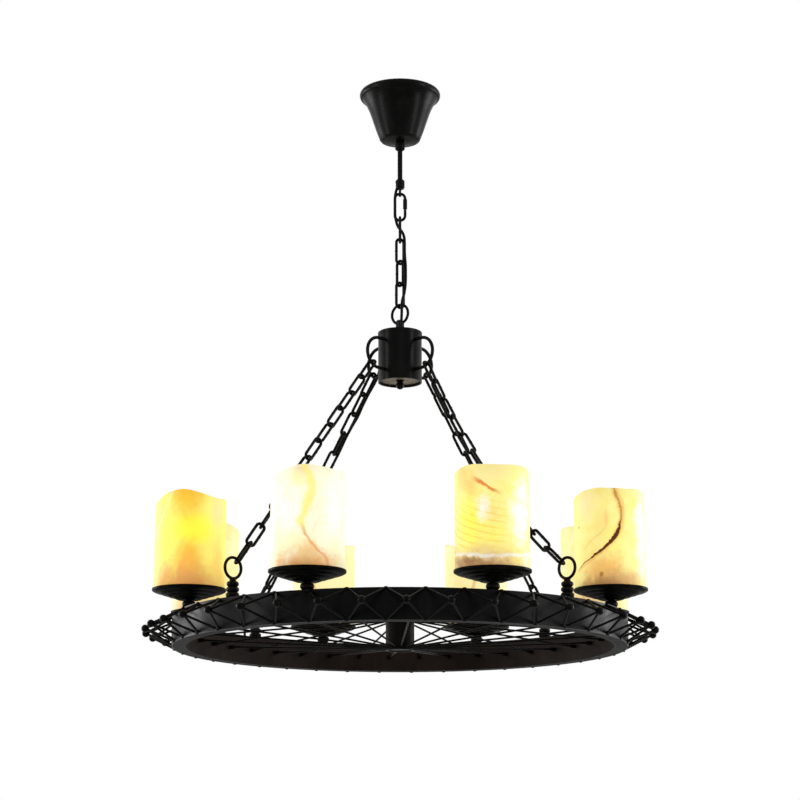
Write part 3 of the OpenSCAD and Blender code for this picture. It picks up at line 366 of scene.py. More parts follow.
# The white patches are pale stone where the painted glow is hottest: partly the stone's tone, partly painted
# light.
cream, white = (1.0, 0.86, 0.46), (1.0, 0.985, 0.86)
marbleLooks = {
    "shade_1": {
        "seed": 3.1, "face": 22.5, "rise": 0, "waves": [(4.2, 86), (4.4, 59), (2.7, 359)],
        "pale": (1.0, 0.97, 0.74), "honey": (1.0, 0.94, 0.62), "much": 0.5, "glow": 0.66, "fray": 0.8,
        "patches": [
            (0.28, 0.58, 0.40, 0.40, white, 1.0),
            (0.84, 0.55, 0.34, 0.50, white, 1.0),
            (0.46, 0.98, 0.20, 0.10, (0.96, 0.60, 0.24), 0.6),
            (0.12, 0.26, 0.26, 0.34, cream, 0.6),
            (0.42, 0.90, 0.34, 0.12, (1.0, 0.94, 0.46), 0.8),
            (0.36, 0.24, 0.50, 0.20, (1.0, 0.90, 0.50), 0.8),
            (0.86, 0.20, 0.36, 0.24, (1.0, 0.92, 0.60), 0.9),
            (0.50, -0.02, 0.84, 0.26, (0.96, 0.52, 0.20), 1.0),
            (0.50, 0.13, 0.24, 0.18, (0.97, 0.66, 0.30), 0.8),
            (0.45, 0.0, 0.5, 0.10, (0.70, 0.32, 0.10), 0.6),
            (0.93, 0.05, 0.14, 0.16, cream, 0.6),
        ],
        "veins": [
            {
                "up": [
                    (0.0, 0.50), (0.36, 0.49), (0.45, 0.44), (0.56, 0.49),
                    (0.7, 0.55), (0.9, 0.56), (1.0, 0.50),
                ],
                "wide": 0.0011, "soft": 0.0082, "tone": (1.0, 0.90, 0.26), "much": 0.95, "from": 0.36,
            },
            {
                "up": [
                    (0.0, 0.78), (0.10, 0.75), (0.18, 0.62), (0.28, 0.53),
                    (0.40, 0.47), (0.5, 0.45), (1.0, 0.5),
                ],
                "wide": 0.0008, "soft": 0.0030, "tone": (0.86, 0.44, 0.16), "much": 0.95, "till": 0.45,
            },
            {
                "up": [(0.0, 0.14), (0.1, 0.19), (0.2, 0.29), (0.28, 0.42), (1.0, 0.5)],
                "wide": 0.0004, "soft": 0.0036, "tone": (0.93, 0.60, 0.28), "much": 0.25, "till": 0.22,
            },
        ],
    },
    "shade_2": {
        "seed": 7.7, "face": -22.5, "rise": 5, "waves": [(1.5, 326), (3.0, 340), (2.9, 145)],
        "pale": (1.0, 0.92, 0.34), "honey": (1.0, 0.80, 0.20), "much": 0.7, "glow": 0.64, "fray": 0.8,
        "patches": [
            (0.20, 0.46, 0.42, 0.42, (1.0, 0.92, 0.11), 1.0),
            (0.50, 0.34, 0.34, 0.22, (1.0, 0.90, 0.18), 0.9),
            (0.36, 0.60, 0.22, 0.18, white, 0.85),
            (0.86, 0.52, 0.34, 0.46, white, 1.0),
            (0.55, 0.96, 0.60, 0.16, (1.0, 0.84, 0.36), 0.8),
            (0.10, 0.92, 0.30, 0.20, (0.95, 0.62, 0.18), 0.8),
            (0.20, 0.80, 0.20, 0.14, (0.95, 0.56, 0.14), 0.6),
            (0.30, -0.02, 1.4, 0.30, (0.86, 0.55, 0.27), 1.0),
            (0.20, 0.07, 0.50, 0.10, (0.40, 0.20, 0.075), 1.0),
            (0.0, 0.14, 0.14, 0.10, (0.84, 0.36, 0.06), 0.9),
            (0.92, 0.08, 0.24, 0.16, (0.98, 0.88, 0.58), 0.9),
            (0.40, 0.10, 0.16, 0.08, (0.84, 0.64, 0.42), 0.7),
            (0.40, -0.02, 0.8, 0.12, (0.50, 0.25, 0.09), 0.8),
        ],
        "bands": {"at": (0.76, 1.58), "wide": 0.0092, "much": 0.8},
        "veins": [
            {
                "across": [
                    (0.0, 0.98), (0.2, 0.92), (0.32, 0.86),
                    (0.45, 0.80), (0.62, 0.745), (1.0, 0.74),
                ],
                "wide": 0.0011, "soft": 0.0034, "tone": (0.80, 0.27, 0.05), "much": 1.1,
                "from": 0.22, "till": 0.62, "thick": (0.22, 0.34),
            },
            {
                "across": [(0.0, 0.155), (0.2, 0.145), (0.45, 0.115), (0.7, 0.13), (1.0, 0.17)],
                "wide": 0.0006, "soft": 0.0030, "tone": (1.0, 0.95, 0.82), "much": 0.85,
            },
        ],
    },
    "shade_3": {
        "seed": 12.4, "face": -67.5, "rise": 6, "waves": [(1.9, 312), (3.4, 248), (2.9, 21)],
        "pale": (1.0, 0.92, 0.36), "honey": (0.99, 0.76, 0.18), "much": 0.8, "glow": 0.63, "fray": 0.8,
        "patches": [
            (0.14, 0.90, 0.26, 0.22, (0.98, 0.76, 0.40), 0.7),
            (0.34, 0.66, 0.22, 0.24, (0.99, 0.72, 0.20), 0.45),
            (0.50, 0.50, 0.30, 0.30, (1.0, 0.90, 0.22), 0.5),
            (0.92, 0.60, 0.30, 0.60, (1.0, 0.97, 0.72), 1.0),
            (0.34, 0.10, 0.50, 0.32, (0.96, 0.52, 0.14), 0.9),
            (0.60, 0.04, 0.60, 0.16, (0.80, 0.46, 0.17), 0.85),
            (0.30, 0.0, 0.6, 0.12, (0.50, 0.26, 0.09), 0.8),
            (0.33, 0.13, 0.055, 0.035, (0.30, 0.13, 0.04), 0.75),
            (0.05, 0.66, 0.03, 0.02, (0.3, 0.16, 0.06), 0.8),
            (0.40, 0.74, 0.05, 0.10, (0.93, 0.58, 0.20), 0.6),
        ],
        "veins": [
            {
                "up": [
                    (0.0, 0.0), (0.22, 0.08), (0.34, 0.29), (0.46, 0.46),
                    (0.56, 0.56), (0.68, 0.61), (0.85, 0.62), (1.0, 0.56),
                ],
                "wide": 0.0020, "soft": 0.0065, "tone": (0.88, 0.42, 0.09), "much": 0.7, "from": 0.16,
            },
            {
                "up": [
                    (0.0, 0.0), (0.22, 0.06), (0.34, 0.27), (0.46, 0.45),
                    (0.56, 0.55), (0.68, 0.60), (0.85, 0.61), (1.0, 0.55),
                ],
                "wide": 0.0016, "soft": 0.0016, "tone": (0.095, 0.024, 0.005), "much": 1.4,
                "thick": (0.40, 0.56), "fade": 0.68, "from": 0.20,
            },
            {
                "up": [(0.0, 0.05), (0.42, 0.14), (0.52, 0.24), (0.62, 0.38), (0.8, 0.42), (1.0, 0.44)],
                "wide": 0.0008, "soft": 0.0030, "tone": (0.93, 0.60, 0.20), "much": 0.55,
                "from": 0.4, "till": 0.8,
            },
        ],
    },
    "shade_8": {
        "seed": 21.3, "face": 67.5, "rise": -1, "waves": [(1.8, 90), (3.8, 148), (3.8, 144)],
        "pale": (1.0, 0.90, 0.20), "honey": (1.0, 0.80, 0.12), "much": 0.6, "glow": 0.66, "fray": 0.45,
        "patches": [
            (0.58, 0.60, 0.48, 0.24, (1.0, 0.97, 0.06), 0.95),
            (0.20, 0.50, 0.22, 0.30, (1.0, 0.93, 0.14), 0.8),
            (0.50, 1.0, 0.42, 0.32, (0.98, 0.58, 0.05), 1.0),
            (0.92, 0.84, 0.26, 0.22, (0.99, 0.74, 0.34), 0.7),
            (0.54, 0.24, 0.34, 0.34, (0.99, 0.50, 0.05), 0.9),
            (0.20, 0.06, 0.40, 0.22, (0.90, 0.50, 0.18), 0.8),
            (0.55, -0.04, 1.2, 0.40, (0.92, 0.43, 0.12), 1.0),
            (0.92, 0.22, 0.24, 0.36, (0.98, 0.62, 0.12), 0.8),
        ],
        "veins": [
            {
                "up": [(0.0, 0.0), (0.50, 0.03), (0.66, 0.08), (0.82, 0.16), (1.0, 0.26)],
                "wide": 0.0006, "soft": 0.0032, "tone": (1.0, 0.88, 0.46), "much": 0.55, "from": 0.52,
            },
            {
                "up": [(0.0, 0.22), (0.25, 0.36), (0.42, 0.42), (0.6, 0.5), (1.0, 0.52)],
                "wide": 0.0012, "soft": 0.0060, "tone": (0.96, 0.66, 0.10), "much": 0.5, "till": 0.55,
            },
        ],
    },
}
backShades = [  # number, seed, face, rise, waves
    (4, 31.0, -112.5, -2, [(2.5, 310), (3.5, 20), (2.0, 90)]),
    (5, 44.0, -157.5, 2, [(1.5, 60), (4.5, 130), (1.5, 300)]),
    (6, 52.0, 157.5, -1, [(3.0, 250), (3.0, 190), (2.0, 140)]),
    (7, 63.0, 112.5, 1, [(2.0, 340), (4.0, 280), (1.5, 70)]),
]
for number, seed, face, rise, waves in backShades:
    lean = 0.12 * math.sin(seed)
    marbleLooks["shade_%d" % number] = {
        "seed": seed, "face": face, "rise": rise, "waves": waves,
        "pale": (1.0, 0.90, 0.48), "honey": (1.0, 0.80, 0.28), "much": 0.8, "glow": 0.64, "fray": 0.8,
        "patches": [
            (0.5 + lean, 0.55, 0.5, 0.4, (1.0, 0.93, 0.48), 0.7),
            (0.3 - lean, 0.05, 0.6, 0.2, peach, 0.7),
            (0.5 + lean, 0.97, 0.4, 0.16, orange, 0.4),
        ],
        "veins": [
            {
                "up": [(0.0, 0.25 + lean), (0.3, 0.4), (0.6, 0.5 - lean), (0.8, 0.66), (1.0, 0.7)],
                "wide": 0.0010, "soft": 0.0035, "tone": (0.80, 0.44, 0.15), "much": 0.7,
            },
        ],
    }
marble = {
    "outer": 0.0535,
    "inner": 0.0445,
    "height": 0.139,
    "edge": 0.0026,
    "round": 0.8,
    "footEdge": 0.0012,
    "sunk": 0.0006,
    "ripple": 0.0007,
    "lump": 0.00035,
    "seat": 0.0263,
    "sides": 192,
    "levels": 26,
    "lipSteps": 9,
}
stone = {
    "swirl": 14,
    "cloud": 30,
    "fine": 110,
    "jag": 240,
    "pits": 330,
    "grain": 420,
    "web": 17.0,
    "patchWide": 0.72,
    "smokeTone": (0.97, 0.70, 0.24),
    "bandTone": (0.96, 0.62, 0.10),
    "webTone": (0.93, 0.60, 0.22),
    "pitTone": (0.40, 0.19, 0.06),
    "unlit": 0.46,  # how strongly the room's lamps show its colour, beside the painted glow of the bulb through the stone
}


def turnOf(across):  # from a share of the width seen to a turn, -0.5 at the left edge and 0.5 at the right
    return math.asin(max(-1, min(1, 2 * across - 1))) / math.pi


def veinMask(paint, turn, high, vein, wobble, broken):
    rising = "up" in vein
    if rising:
        run, cross = high, turn + 0.5
        path = [(up, turnOf(across) + 0.5) for up, across in vein["up"]]
        metresAcross = math.pi * marble["outer"]
    else:
        run, cross = turn + 0.5, high
        path = [(turnOf(across) + 0.5, up) for across, up in vein["across"]]
        metresAcross = marble["height"]
    middle = paint.add("ShaderNodeFloatCurve", {"bends": path}, {"Value": run})
    off = abs((cross - middle + wobble) * metresAcross)
    width = vein["wide"] * (0.4 + broken * 1.2)
    if "thick" in vein:
        low, top = vein["thick"]
        swollen = run.rise(low - 0.15, low + 0.05) * (1 - run.rise(top - 0.05, top + 0.15))
        width = width * (0.5 + swollen * 1.3)
    mask = 1 - (off - width).rise(0, vein["soft"])
    if "from" in vein:
        start = vein["from"] if rising else turnOf(vein["from"]) + 0.5
        mask = mask * run.rise(start - 0.03, start + 0.08)
    if "till" in vein:
        stop = vein["till"] if rising else turnOf(vein["till"]) + 0.5
        mask = mask * (1 - run.rise(stop - 0.10, stop + 0.02))
    if "fade" in vein:
        mask = mask * (1 - run.rise(vein["fade"] - 0.12, vein["fade"] + 0.1) * 0.65)
    return mask * vein["much"] * (0.55 + broken * 0.8)


def bandMask(turn, high, bands, drift, cloud, fine):  # fine growth bands round a far centre
    farTurn, farHigh = bands["at"]
    sideways = (turn - turnOf(farTurn)) * math.pi * marble["outer"]
    upward = (high - farHigh) * marble["height"]
    out = (sideways ** 2 + upward ** 2) ** 0.5
    lines = ((out + drift * 0.024) * (2 * math.pi / bands["wide"])).math("SINE")
    broken = cloud.rise(0.34, 0.54) * (0.6 + fine * 0.5)
    onLeft = 1 - turn.rise(0.0, 0.16)
    between = high.rise(0.14, 0.22) * (1 - high.rise(0.50, 0.76) * 0.85)
    return lines.rise(0.45, 1.0) * broken * onLeft * between * bands["much"]


def marblePaint(name):
    look = marbleLooks[name]
    paint = Paint("marble_" + name)
    x, y, z = paint.axes()
    turn = y.math("ARCTAN2", x) / math.pi
    high = z / marble["height"]
    where = paint.shifted((look["seed"], look["seed"] * 0.7, look["seed"] * 1.3))
    swirl = paint.noise(stone["swirl"], 5, 0.55, 0.9, where)
    cloud = paint.noise(stone["cloud"], 6, 0.62, 1.6, where)
    fine = paint.noise(stone["fine"], 4, 0.6, 0.6, where)
    jag = paint.noise(stone["jag"], 3, 0.65, 0.3, where)
    grain = paint.noise(stone["grain"], 2, 0.5, 0, where)
    drift = (swirl - 0.5) * 0.22 + (cloud - 0.5) * 0.12 + (fine - 0.5) * 0.06 + (jag - 0.5) * 0.03
    fray = ((swirl - 0.5) * 1.8 + (cloud - 0.5) * 1.4 + (fine - 0.5) * 0.5) * look["fray"]
    broken = fine * 0.5 + cloud * 0.5

    amber = (cloud * 0.6 + swirl * 0.4).rise(0.36, 0.66)
    colour = paint.mix(amber * look["much"], tone(*look["pale"]), tone(*look["honey"]))
    for across, up, wide, tall, patchTone, amount in look["patches"]:
        halfTurn = wide / math.pi * 2 * stone["patchWide"]
        near = (((turn - turnOf(across)) / halfTurn) ** 2 + ((high - up) / tall) ** 2) ** 0.5
        mask = 1 - (near + fray).rise(0.2, 1.1)
        colour = paint.mix(mask * amount, colour, tone(*patchTone))
    smoke = (fine * 0.45 + cloud * 0.55).rise(0.54, 0.72)
    colour = paint.mix(smoke * 0.22, colour, tone(*stone["smokeTone"]))
    if "bands" in look:
        lines = bandMask(turn, high, look["bands"], drift, cloud, fine)
        colour = paint.mix(lines, colour, tone(*stone["bandTone"]))
    for vein in look["veins"]:
        mask = veinMask(paint, turn, high, vein, drift * 0.42, broken)
        colour = paint.mix(mask, colour, tone(*vein["tone"]))
    crazed = {"Vector": paint.warped(where, cloud, 0.05), "Scale": stone["web"]}
    web = paint.add("ShaderNodeTexVoronoi", {"feature": "DISTANCE_TO_EDGE"}, crazed)
    web = (1 - web.rise(0.0, 0.05)) * swirl.rise(0.50, 0.62)
    colour = paint.mix(web * 0.30, colour, tone(*stone["webTone"]))
    pits = paint.noise(stone["pits"], 1, 0.5, 0, where).rise(0.70, 0.78) * (1 - high.rise(0.08, 0.3))
    colour = paint.mix(pits * 0.6, colour, tone(*stone["pitTone"]))

    # Painted glow: brightest above the foot, dimmer at the foot and under the rim, as the bulb inside lights
    # the stone
    paintedBulbGlow = 0.52 + high.rise(-0.05, 0.30) * 0.48 - high.rise(0.86, 1.06) * 0.16 + (cloud - 0.5) * 0.16
    return paint.finish({
        # the base colour is dimmed by "unlit", so that the painted glow carries most of the brightness
        "Base Color": paint.mix(1.0, colour, tone(*[stone["unlit"]] * 3), "MULTIPLY"),
        "Roughness": 0.42 + fine * 0.16,
        "IOR": 1.25,
        # painted glow of the bulb through the stone, in the stone's own colour
        "Emission Color": paint.mix(paintedBulbGlow.clip(), tone(0, 0, 0), colour),
        "Emission Strength": look["glow"],
        "Normal": paint.bump(grain * 0.3 + swirl * 0.7, 0.10, 0.003),
    })


def rimHeight(look, degrees):
    rise = look["rise"]
    for crests, (size, turn) in enumerate(look["waves"], 1):
        rise += size * math.cos(math.radians(crests * degrees - turn))
    return marble["height"] + 0.001 * rise


def waver(a, reach, along):  # a noise value that comes back to itself round the shade
    return noise.noise(Vector((reach * math.cos(a), reach * math.sin(a), along)))


def meltedShade(number):
    name = "shade_%d" % number
    look = marbleLooks[name]
    outer, inner, edge, foot = (marble[key] for key in ("outer", "inner", "edge", "footEdge"))
    sides, levels, lipSteps = (marble[key] for key in ("sides", "levels", "lipSteps"))
    middle, half = (outer + inner) / 2, (outer - inner) / 2
    profile = [("in", 0.0), ("foot", 0.0)]
    profile += [("out", i / levels) for i in range(levels + 1)]
    profile += [("lip", i / lipSteps) for i in range(1, lipSteps)]
    profile += [("in", 1 - i / levels) for i in range(levels)]
    vertices = []
    for part, share in profile:
        for k in range(sides):
            degrees = 360 * k / sides
            a = math.radians(degrees)
            ripple = marble["ripple"] * waver(a, 3.1, look["seed"])
            top = rimHeight(look, degrees + look["face"]) + ripple - marble["sunk"]
            if part == "foot":
                radius, height = outer - foot, 0.0
            elif part == "out":
                height = foot + (top - edge - foot) * share
                lump = marble["lump"] * waver(a, 9, height * 60 + look["seed"])
                radius = outer - marble["lump"] - lump * min(1, 8 * share)
            elif part == "lip":
                t = math.pi * share
                radius = middle + half * math.copysign(abs(math.cos(t)) ** marble["round"], math.cos(t))
                height = top - edge + edge * math.sin(t) ** marble["round"]
            else:
                radius, height = inner, (top - edge) * share
            vertices.append((radius * math.cos(a), radius * math.sin(a), height))
    piece = objectFrom("candleShade_%d" % number, vertices, ringFaces(sides, len(profile), True))
    at = math.radians(lampAngles[number - 1])
    piece.location = (lampRadius * math.sin(at), -lampRadius * math.cos(at), ringTop + marble["seat"])
    piece.rotation_euler = (0, 0, at - math.pi / 2 + math.radians(look["face"]))
    piece.data.materials.append(marblePaint(name))
    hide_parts(name)
    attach(piece, name)


for number in range(1, 9):
    meltedShade(number)
print("eight marble shades turned")


# Frosted candle bulbs
bulbLook = {
    "contact": [(0.0, 0.0), (0.003, 0.0), (0.0034, 0.0018)],  # the button under the cap
    "glass": 0.0168,
    "long": 0.072,
    "lowBelly": 0.62,
    "fullness": 0.75,
    "neck": 0.12,
    "cap": 0.007,
    "capEdge": 0.001,
    "capLow": 0.0026,
    "capHigh": 0.0265,
    "capSoft": 0.0006,
    "thread": 0.0008,
    "threadFrom": 0.004,
    "threadLong": 0.0205,
    "threadTurns": 6,
    "glassSteps": 24,
    "sides": 48,
    "hot": (0.024, 0.05),
    "cooler": (0.075, 0.1),
    "emberTone": (0.9, 0.55, 0.25),
    "hotTone": (1.0, 0.90, 0.68),
    "glassTone": (0.95, 0.9, 0.8),
    "capTone": (0.6, 0.6, 0.58),
}


def bulbPaint():
    b = bulbLook
    paint = Paint("frostedBulb")
    z = paint.axes()[2]
    frost = paint.noise(160, 3, 0.5)
    hot = z.rise(*b["hot"]) * (1 - z.rise(*b["cooler"]) * 0.35)
    glow = paint.mix(hot, tone(*b["emberTone"]), tone(*b["hotTone"]))
    capMask = 1 - z.rise(b["capHigh"] - b["capSoft"], b["capHigh"] + b["capSoft"])
    return paint.finish({
        "Base Color": paint.mix(capMask, tone(*b["glassTone"]), tone(*b["capTone"])),
        "Metallic": capMask,
        "Roughness": 0.3 + frost * 0.2,
        "Emission Color": paint.mix(capMask, glow, tone(0, 0, 0)),
        "Emission Strength": 1.0,
        "Normal": paint.bump(frost, 0.05, 0.0004),
    })


def candleBulb(number, material):
    name = "bulb_%d" % number
    low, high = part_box(name)
    b = bulbLook
    cap, capHigh, deep = b["cap"], b["capHigh"], b["thread"] / 2
    profile = b["contact"] + [(cap - b["capEdge"], b["capLow"])]
    threadSteps = b["threadTurns"] * 4
    for i in range(threadSteps + 1):  # the cap's rolled thread
        t = i / threadSteps
        wave = math.cos(2 * math.pi * b["threadTurns"] * t)
        profile.append((cap - deep + deep * wave, b["threadFrom"] + b["threadLong"] * t))
    profile += [(cap, capHigh - b["capEdge"]), (cap, capHigh)]
    for i in range(1, b["glassSteps"]):
        t = i / b["glassSteps"]
        radius = b["glass"] * math.sin(math.pi * t ** b["lowBelly"]) ** b["fullness"]
        if t < b["neck"]:  # the glass starts at the cap's width
            radius = max(radius, cap * (1 - t) ** 0.4)
        profile.append((radius, capHigh + b["long"] * t))
    profile.append((0.0, capHigh + b["long"]))
    vertices = []
    for radius, height in profile:
        radius = max(radius, 0.00002)  # so that no two points fall together
        for k in range(b["sides"]):
            a = 2 * math.pi * k / b["sides"]
            vertices.append((radius * math.cos(a), radius * math.sin(a), height))
    piece = objectFrom("candleBulb_%d" % number, vertices, ringFaces(b["sides"], len(profile)))
    piece.location = ((low.x + high.x) / 2, (low.y + high.y) / 2, low.z)
    piece.data.materials.append(material)
    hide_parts(name)
    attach(piece, name)


frosted = bulbPaint()
for number in range(1, 9):
    candleBulb(number, frosted)
print("bulbs blown")


# Cables: widths in metres, the steps along the routes in millimetres
cables = {
    "mainWide": 0.0046,
    "ringWide": 0.0042,
    "mainStep": 2.2,
    "ringStep": 2.4,
    "sides": 14,
    "dark": (0.0016, 0.0015, 0.0014),
    "light": (0.0075, 0.0068, 0.0062),
}
mainRoute = [
    (0, 0, -4), (0, 0, -40), (0, 0, -80), (0, 0, -120), (0, 0, -150), (0, 0, -156.5),
    (-1.5, 0, -159.8), (-3.8, 0, -163), (-5.1, 0, -167.5), (-6.6, 2.5, -171.5), (-7.7, 4.8, -176.6),
    (-8.1, 5.2, -182.8), (-8.1, 5.1, -195), (-8.1, 5.1, -207), (-7.7, 5.1, -214), (-6.4, 5, -220.8),
    (-5, 3.3, -226.8), (-3, 1, -232.4), (0, 0, -236.9), (3, -0.4, -241), (5.4, -1.2, -246),
    (6.9, -2, -252), (7.5, -2.4, -261), (7.5, -2.4, -273.2), (8, -2.1, -285.3), (8.9, -1.3, -295.4),
    (9.2, -0.4, -307.5), (9.2, -0.4, -317.7), (9, -1, -326.8), (8.2, -2.5, -336.9),
    (6.5, -4.8, -348.1), (3.9, -7.7, -358.2), (3, -8.4, -367.3), (2.8, -8.3, -378.2),
    (2.4, -7.8, -389.2), (1.9, -7.6, -400.2), (1.9, -7.6, -420.2),
]


def smoothRoute(points, step):  # in metres, through points in millimetres
    points = [Vector(p) for p in points]
    out = []
    for i in range(len(points) - 1):
        a = points[max(i - 1, 0)]
        b, c = points[i], points[i + 1]
        d = points[min(i + 2, len(points) - 1)]
        count = max(2, round((c - b).length / step))
        for k in range(count):
            t = k / count
            straight = (c - a) * t
            bend = (2 * a - 5 * b + 4 * c - d) * t * t
            twist = (3 * b - a - 3 * c + d) * t ** 3
            out.append(0.5 * (2 * b + straight + bend + twist))
    out.append(points[-1])
    return [p * 0.001 for p in out]


def sweptTube(name, route, width):
    sides = cables["sides"]
    vertices = []
    for i, p in enumerate(route):
        ahead = (route[min(i + 1, len(route) - 1)] - route[max(i - 1, 0)]).normalized()
        n = Vector((0, 1, 0)).cross(ahead).normalized()
        b = ahead.cross(n)
        for k in range(sides):
            a = 2 * math.pi * k / sides
            vertices.append(p + width / 2 * (n * math.cos(a) + b * math.sin(a)))
    faces = [(a, d, c, b) for a, b, c, d in ringFaces(sides, len(route))]
    last = (len(route) - 1) * sides
    faces.append(tuple(range(sides)))
    faces.append(tuple(last + k for k in reversed(range(sides))))
    return objectFrom(name, vertices, faces)


def cablePaint():
    paint = Paint("cableSheath")
    scuff = paint.noise(120, 4, 0.6)
    braid = paint.noise(700, 2, 0.5)
    return paint.finish({
        "Base Color": paint.mix(scuff.rise(0.35, 0.7), tone(*cables["dark"]), tone(*cables["light"])),
        "Roughness": 0.5 + (scuff - 0.5) * 0.3,
        "IOR": 1.14,
        "Normal": paint.bump(braid, 0.10, 0.0005),
    })


sheath = cablePaint()
route = smoothRoute(mainRoute, cables["mainStep"])
hangingBodies = [  # one stretch over each hinge: upper body, lower body, where it starts and ends
    ("ceiling_mount", "quick_link", -0.177, -0.200),
    ("quick_link", "center_link_1", -0.211, -0.237),
    ("center_link_1", "center_link_2", -0.244, -0.273),
    ("center_link_2", "center_link_3", -0.281, -0.310),
    ("center_link_3", "center_link_4", -0.318, -0.346),
    ("center_link_4", "hub_ring", -0.354, -0.380),
    ("hub_ring", "pendant", -0.388, -0.404),
]
first = 0
for number, (upper, lower, start, end) in enumerate(hangingBodies):
    last = len(route) - 1
    if number + 1 < len(hangingBodies):
        parting = (end + hangingBodies[number + 1][2]) / 2
        last = min(i for i, p in enumerate(route) if p.z < parting)
    piece = sweptTube("mainCable_%d" % (number + 1), route[first:last + 1], cables["mainWide"])
    piece.data.materials.append(sheath)
    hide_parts("main_cable")
    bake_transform(piece)
    first = last
print("main cable woven down the chain")

# The ring cable leaves the hub, winds through the back left chain and drops to the ring. Places are
# in millimetres: out from the axis, sideways and up from the loops' height. Along the chain they
# are along it, up from it and sideways.
ringCable = {
    "azimuth": -135, "loopOut": 48.0, "loopReach": 24.5, "loopHigh": -453.11, "slope": 52.04,
    "hub": [(24, 0, 0), (36, 0, 0), (43, -0.6, -1.5), (49, -2.8, -6), (54, -5.5, -13), (58.5, -6.2, -21.5)],
    "along": [
        (10, -5.5, -6.1), (30.3, -5.4, -4.8), (50.5, -5.8, -4.2), (70.7, -7, -4.2), (91, -6.1, -3.3),
        (111, -5.8, -2.6), (131, -6.7, -2.4), (146.5, -7.2, -2.2), (166.5, -6.6, -1.7), (187, -6.6, -1),
        (205, -6.6, -0.4), (222, -7.7, -0.1), (240.5, -6.9, 0.4), (257.5, -6.3, 0.9), (277.5, -6.4, 1.3),
        (295, -7.8, 1.9), (315, -7.4, 2.4), (335, -6.3, 2.9), (353.5, -7.3, 4.6), (373.5, -9.5, 7.7),
    ],
    "drop": [(303, 14, -345), (317, 20, -365.5), (329, 23, -384.5), (338, 24, -399.5)],
    "entry": (341.17, 23.86),
    "through": (12, 0, -12),
}


def ringCableRoute():
    c = ringCable
    slope, high = math.radians(c["slope"]), c["loopHigh"]
    points = [(out, side, high + up) for out, side, up in c["hub"]]
    for along, up, side in c["along"]:
        reach = c["loopReach"] + along
        out = c["loopOut"] + reach * math.cos(slope) + up * math.sin(slope)
        points.append((out, side, high - reach * math.sin(slope) + up * math.cos(slope)))
    points += [(out, side, high + up) for out, side, up in c["drop"]]
    points += [(*c["entry"], ringTop * 1000 + up) for up in c["through"]]
    return smoothRoute(points, cables["ringStep"])


piece = sweptTube("ringCable", ringCableRoute(), cables["ringWide"])
piece.rotation_euler = (0, 0, math.radians(ringCable["azimuth"] - 90))
piece.data.materials.append(sheath)
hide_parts("ring_cable")
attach(piece, "pendant")
print("ring cable wound down its chain")


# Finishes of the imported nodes
centerLinks = ["center_link_%d" % k for k in range(1, 5)]
sideChains = ["side_chain_%d" % k for k in range(1, 5)]
ironNodes = {
    "satinIron": [
        "canopy", "canopy_nut", "stem_tube", "stem_collar", "hub_nipple", "hub_lid", "hub_shell",
        "hub_finial", "hub_loops",
    ],
    "castIron": ["lamp_stems", "eye_bolts", "spindle"],
    "panIron": ["drip_pans"],
    "chainIron": ["quick_link", "quick_link_sleeve", "hub_ring"] + centerLinks + sideChains,
    "ringIron": ["ring_outer_band", "ring_top_plate"],
    "rodIron": ["lattice_rods"],
    "spokeIron": ["spokes", "spoke_nipples"],
    "ballIron": ["lattice_balls"],
    "underIron": ["ring_bottom_plate"],
    "innerIron": ["ring_inner_band"],
}


def dress(names, material):
    for name in names:
        data = nodes[name].data
        data.materials.clear()
        data.materials.append(material)


for iron, names in ironNodes.items():
    dress(names, ironPaint(iron))
# the hub base's underside gets painted light from below
dress(["hub_base"], paintedLightUndersidePaint())
dress(["ceiling_bracket", "stem_lock_nuts", "hub_tie_rod", "ring_nuts"], platedPaint("zincPlate"))
dress(["earth_screw"], platedPaint("brassScrew"))
dress(["terminal_block"], plasticPaint("ivoryPlastic"))
dress(["lamp_holders"], plasticPaint("holderPlastic"))
dress(["ring_wiring"], plasticPaint("leadSleeve"))
print("iron finished")


# Weld seams on the links, and weld beads at the lattice rods' feet
welds = {
    "wire": 0.0046,
    "seamProud": 0.0005,
    "seamLong": 0.0017,
    "seamOut": 0.0001,
    "beads": 40,
    "beadSize": (0.0042, 0.0026, 0.0026),
    "beadTurn": 1.3,
    "beadUp": 0.0014,
    "rough": 0.0003,
    "roughScale": 900,
    "noisesApart": (0, 31.7, 77.3),
    "touching": 0.00002,
}


def islands(mesh):  # the separate links of a chain, as lists of points in the mesh's own order
    bm = bmesh.new()
    bm.from_mesh(mesh)
    bmesh.ops.remove_doubles(bm, verts=bm.verts, dist=welds["touching"])
    bm.verts.ensure_lookup_table()
    bm.verts.index_update()
    seen, found = [False] * len(bm.verts), []
    for first in bm.verts:
        if seen[first.index]:
            continue
        seen[first.index] = True
        stack, link = [first], []
        while stack:
            vertex = stack.pop()
            link.append(vertex.co.copy())
            for edge in vertex.link_edges:
                other = edge.other_vert(vertex)
                if not seen[other.index]:
                    seen[other.index] = True
                    stack.append(other)
        found.append(link)
    bm.free()
    return found


def seamPlace(points, toLeft):  # where a link's bent rod was closed: the middle of one leg
    spots = np.array(points)
    middle = (spots.max(axis=0) + spots.min(axis=0)) / 2
    out, along = (Vector(axis) for axis in np.linalg.eigh(np.cov(spots.T))[1].T[1:])
    reach = np.abs((spots - middle) @ np.array(out)).max() - welds["wire"] / 2
    if (out.x + out.y * 0.1 > 0) == toLeft:  # by depth where the legs line up
        out = -out
    if along.z < 0:
        along = -along
    side = along.cross(out)
    thick = welds["wire"] / 2 + welds["seamProud"]
    turned = Matrix((out * thick, side * thick, along * welds["seamLong"])).transposed().to_4x4()
    return Matrix.Translation(Vector(middle) + out * (reach + welds["seamOut"])) @ turned


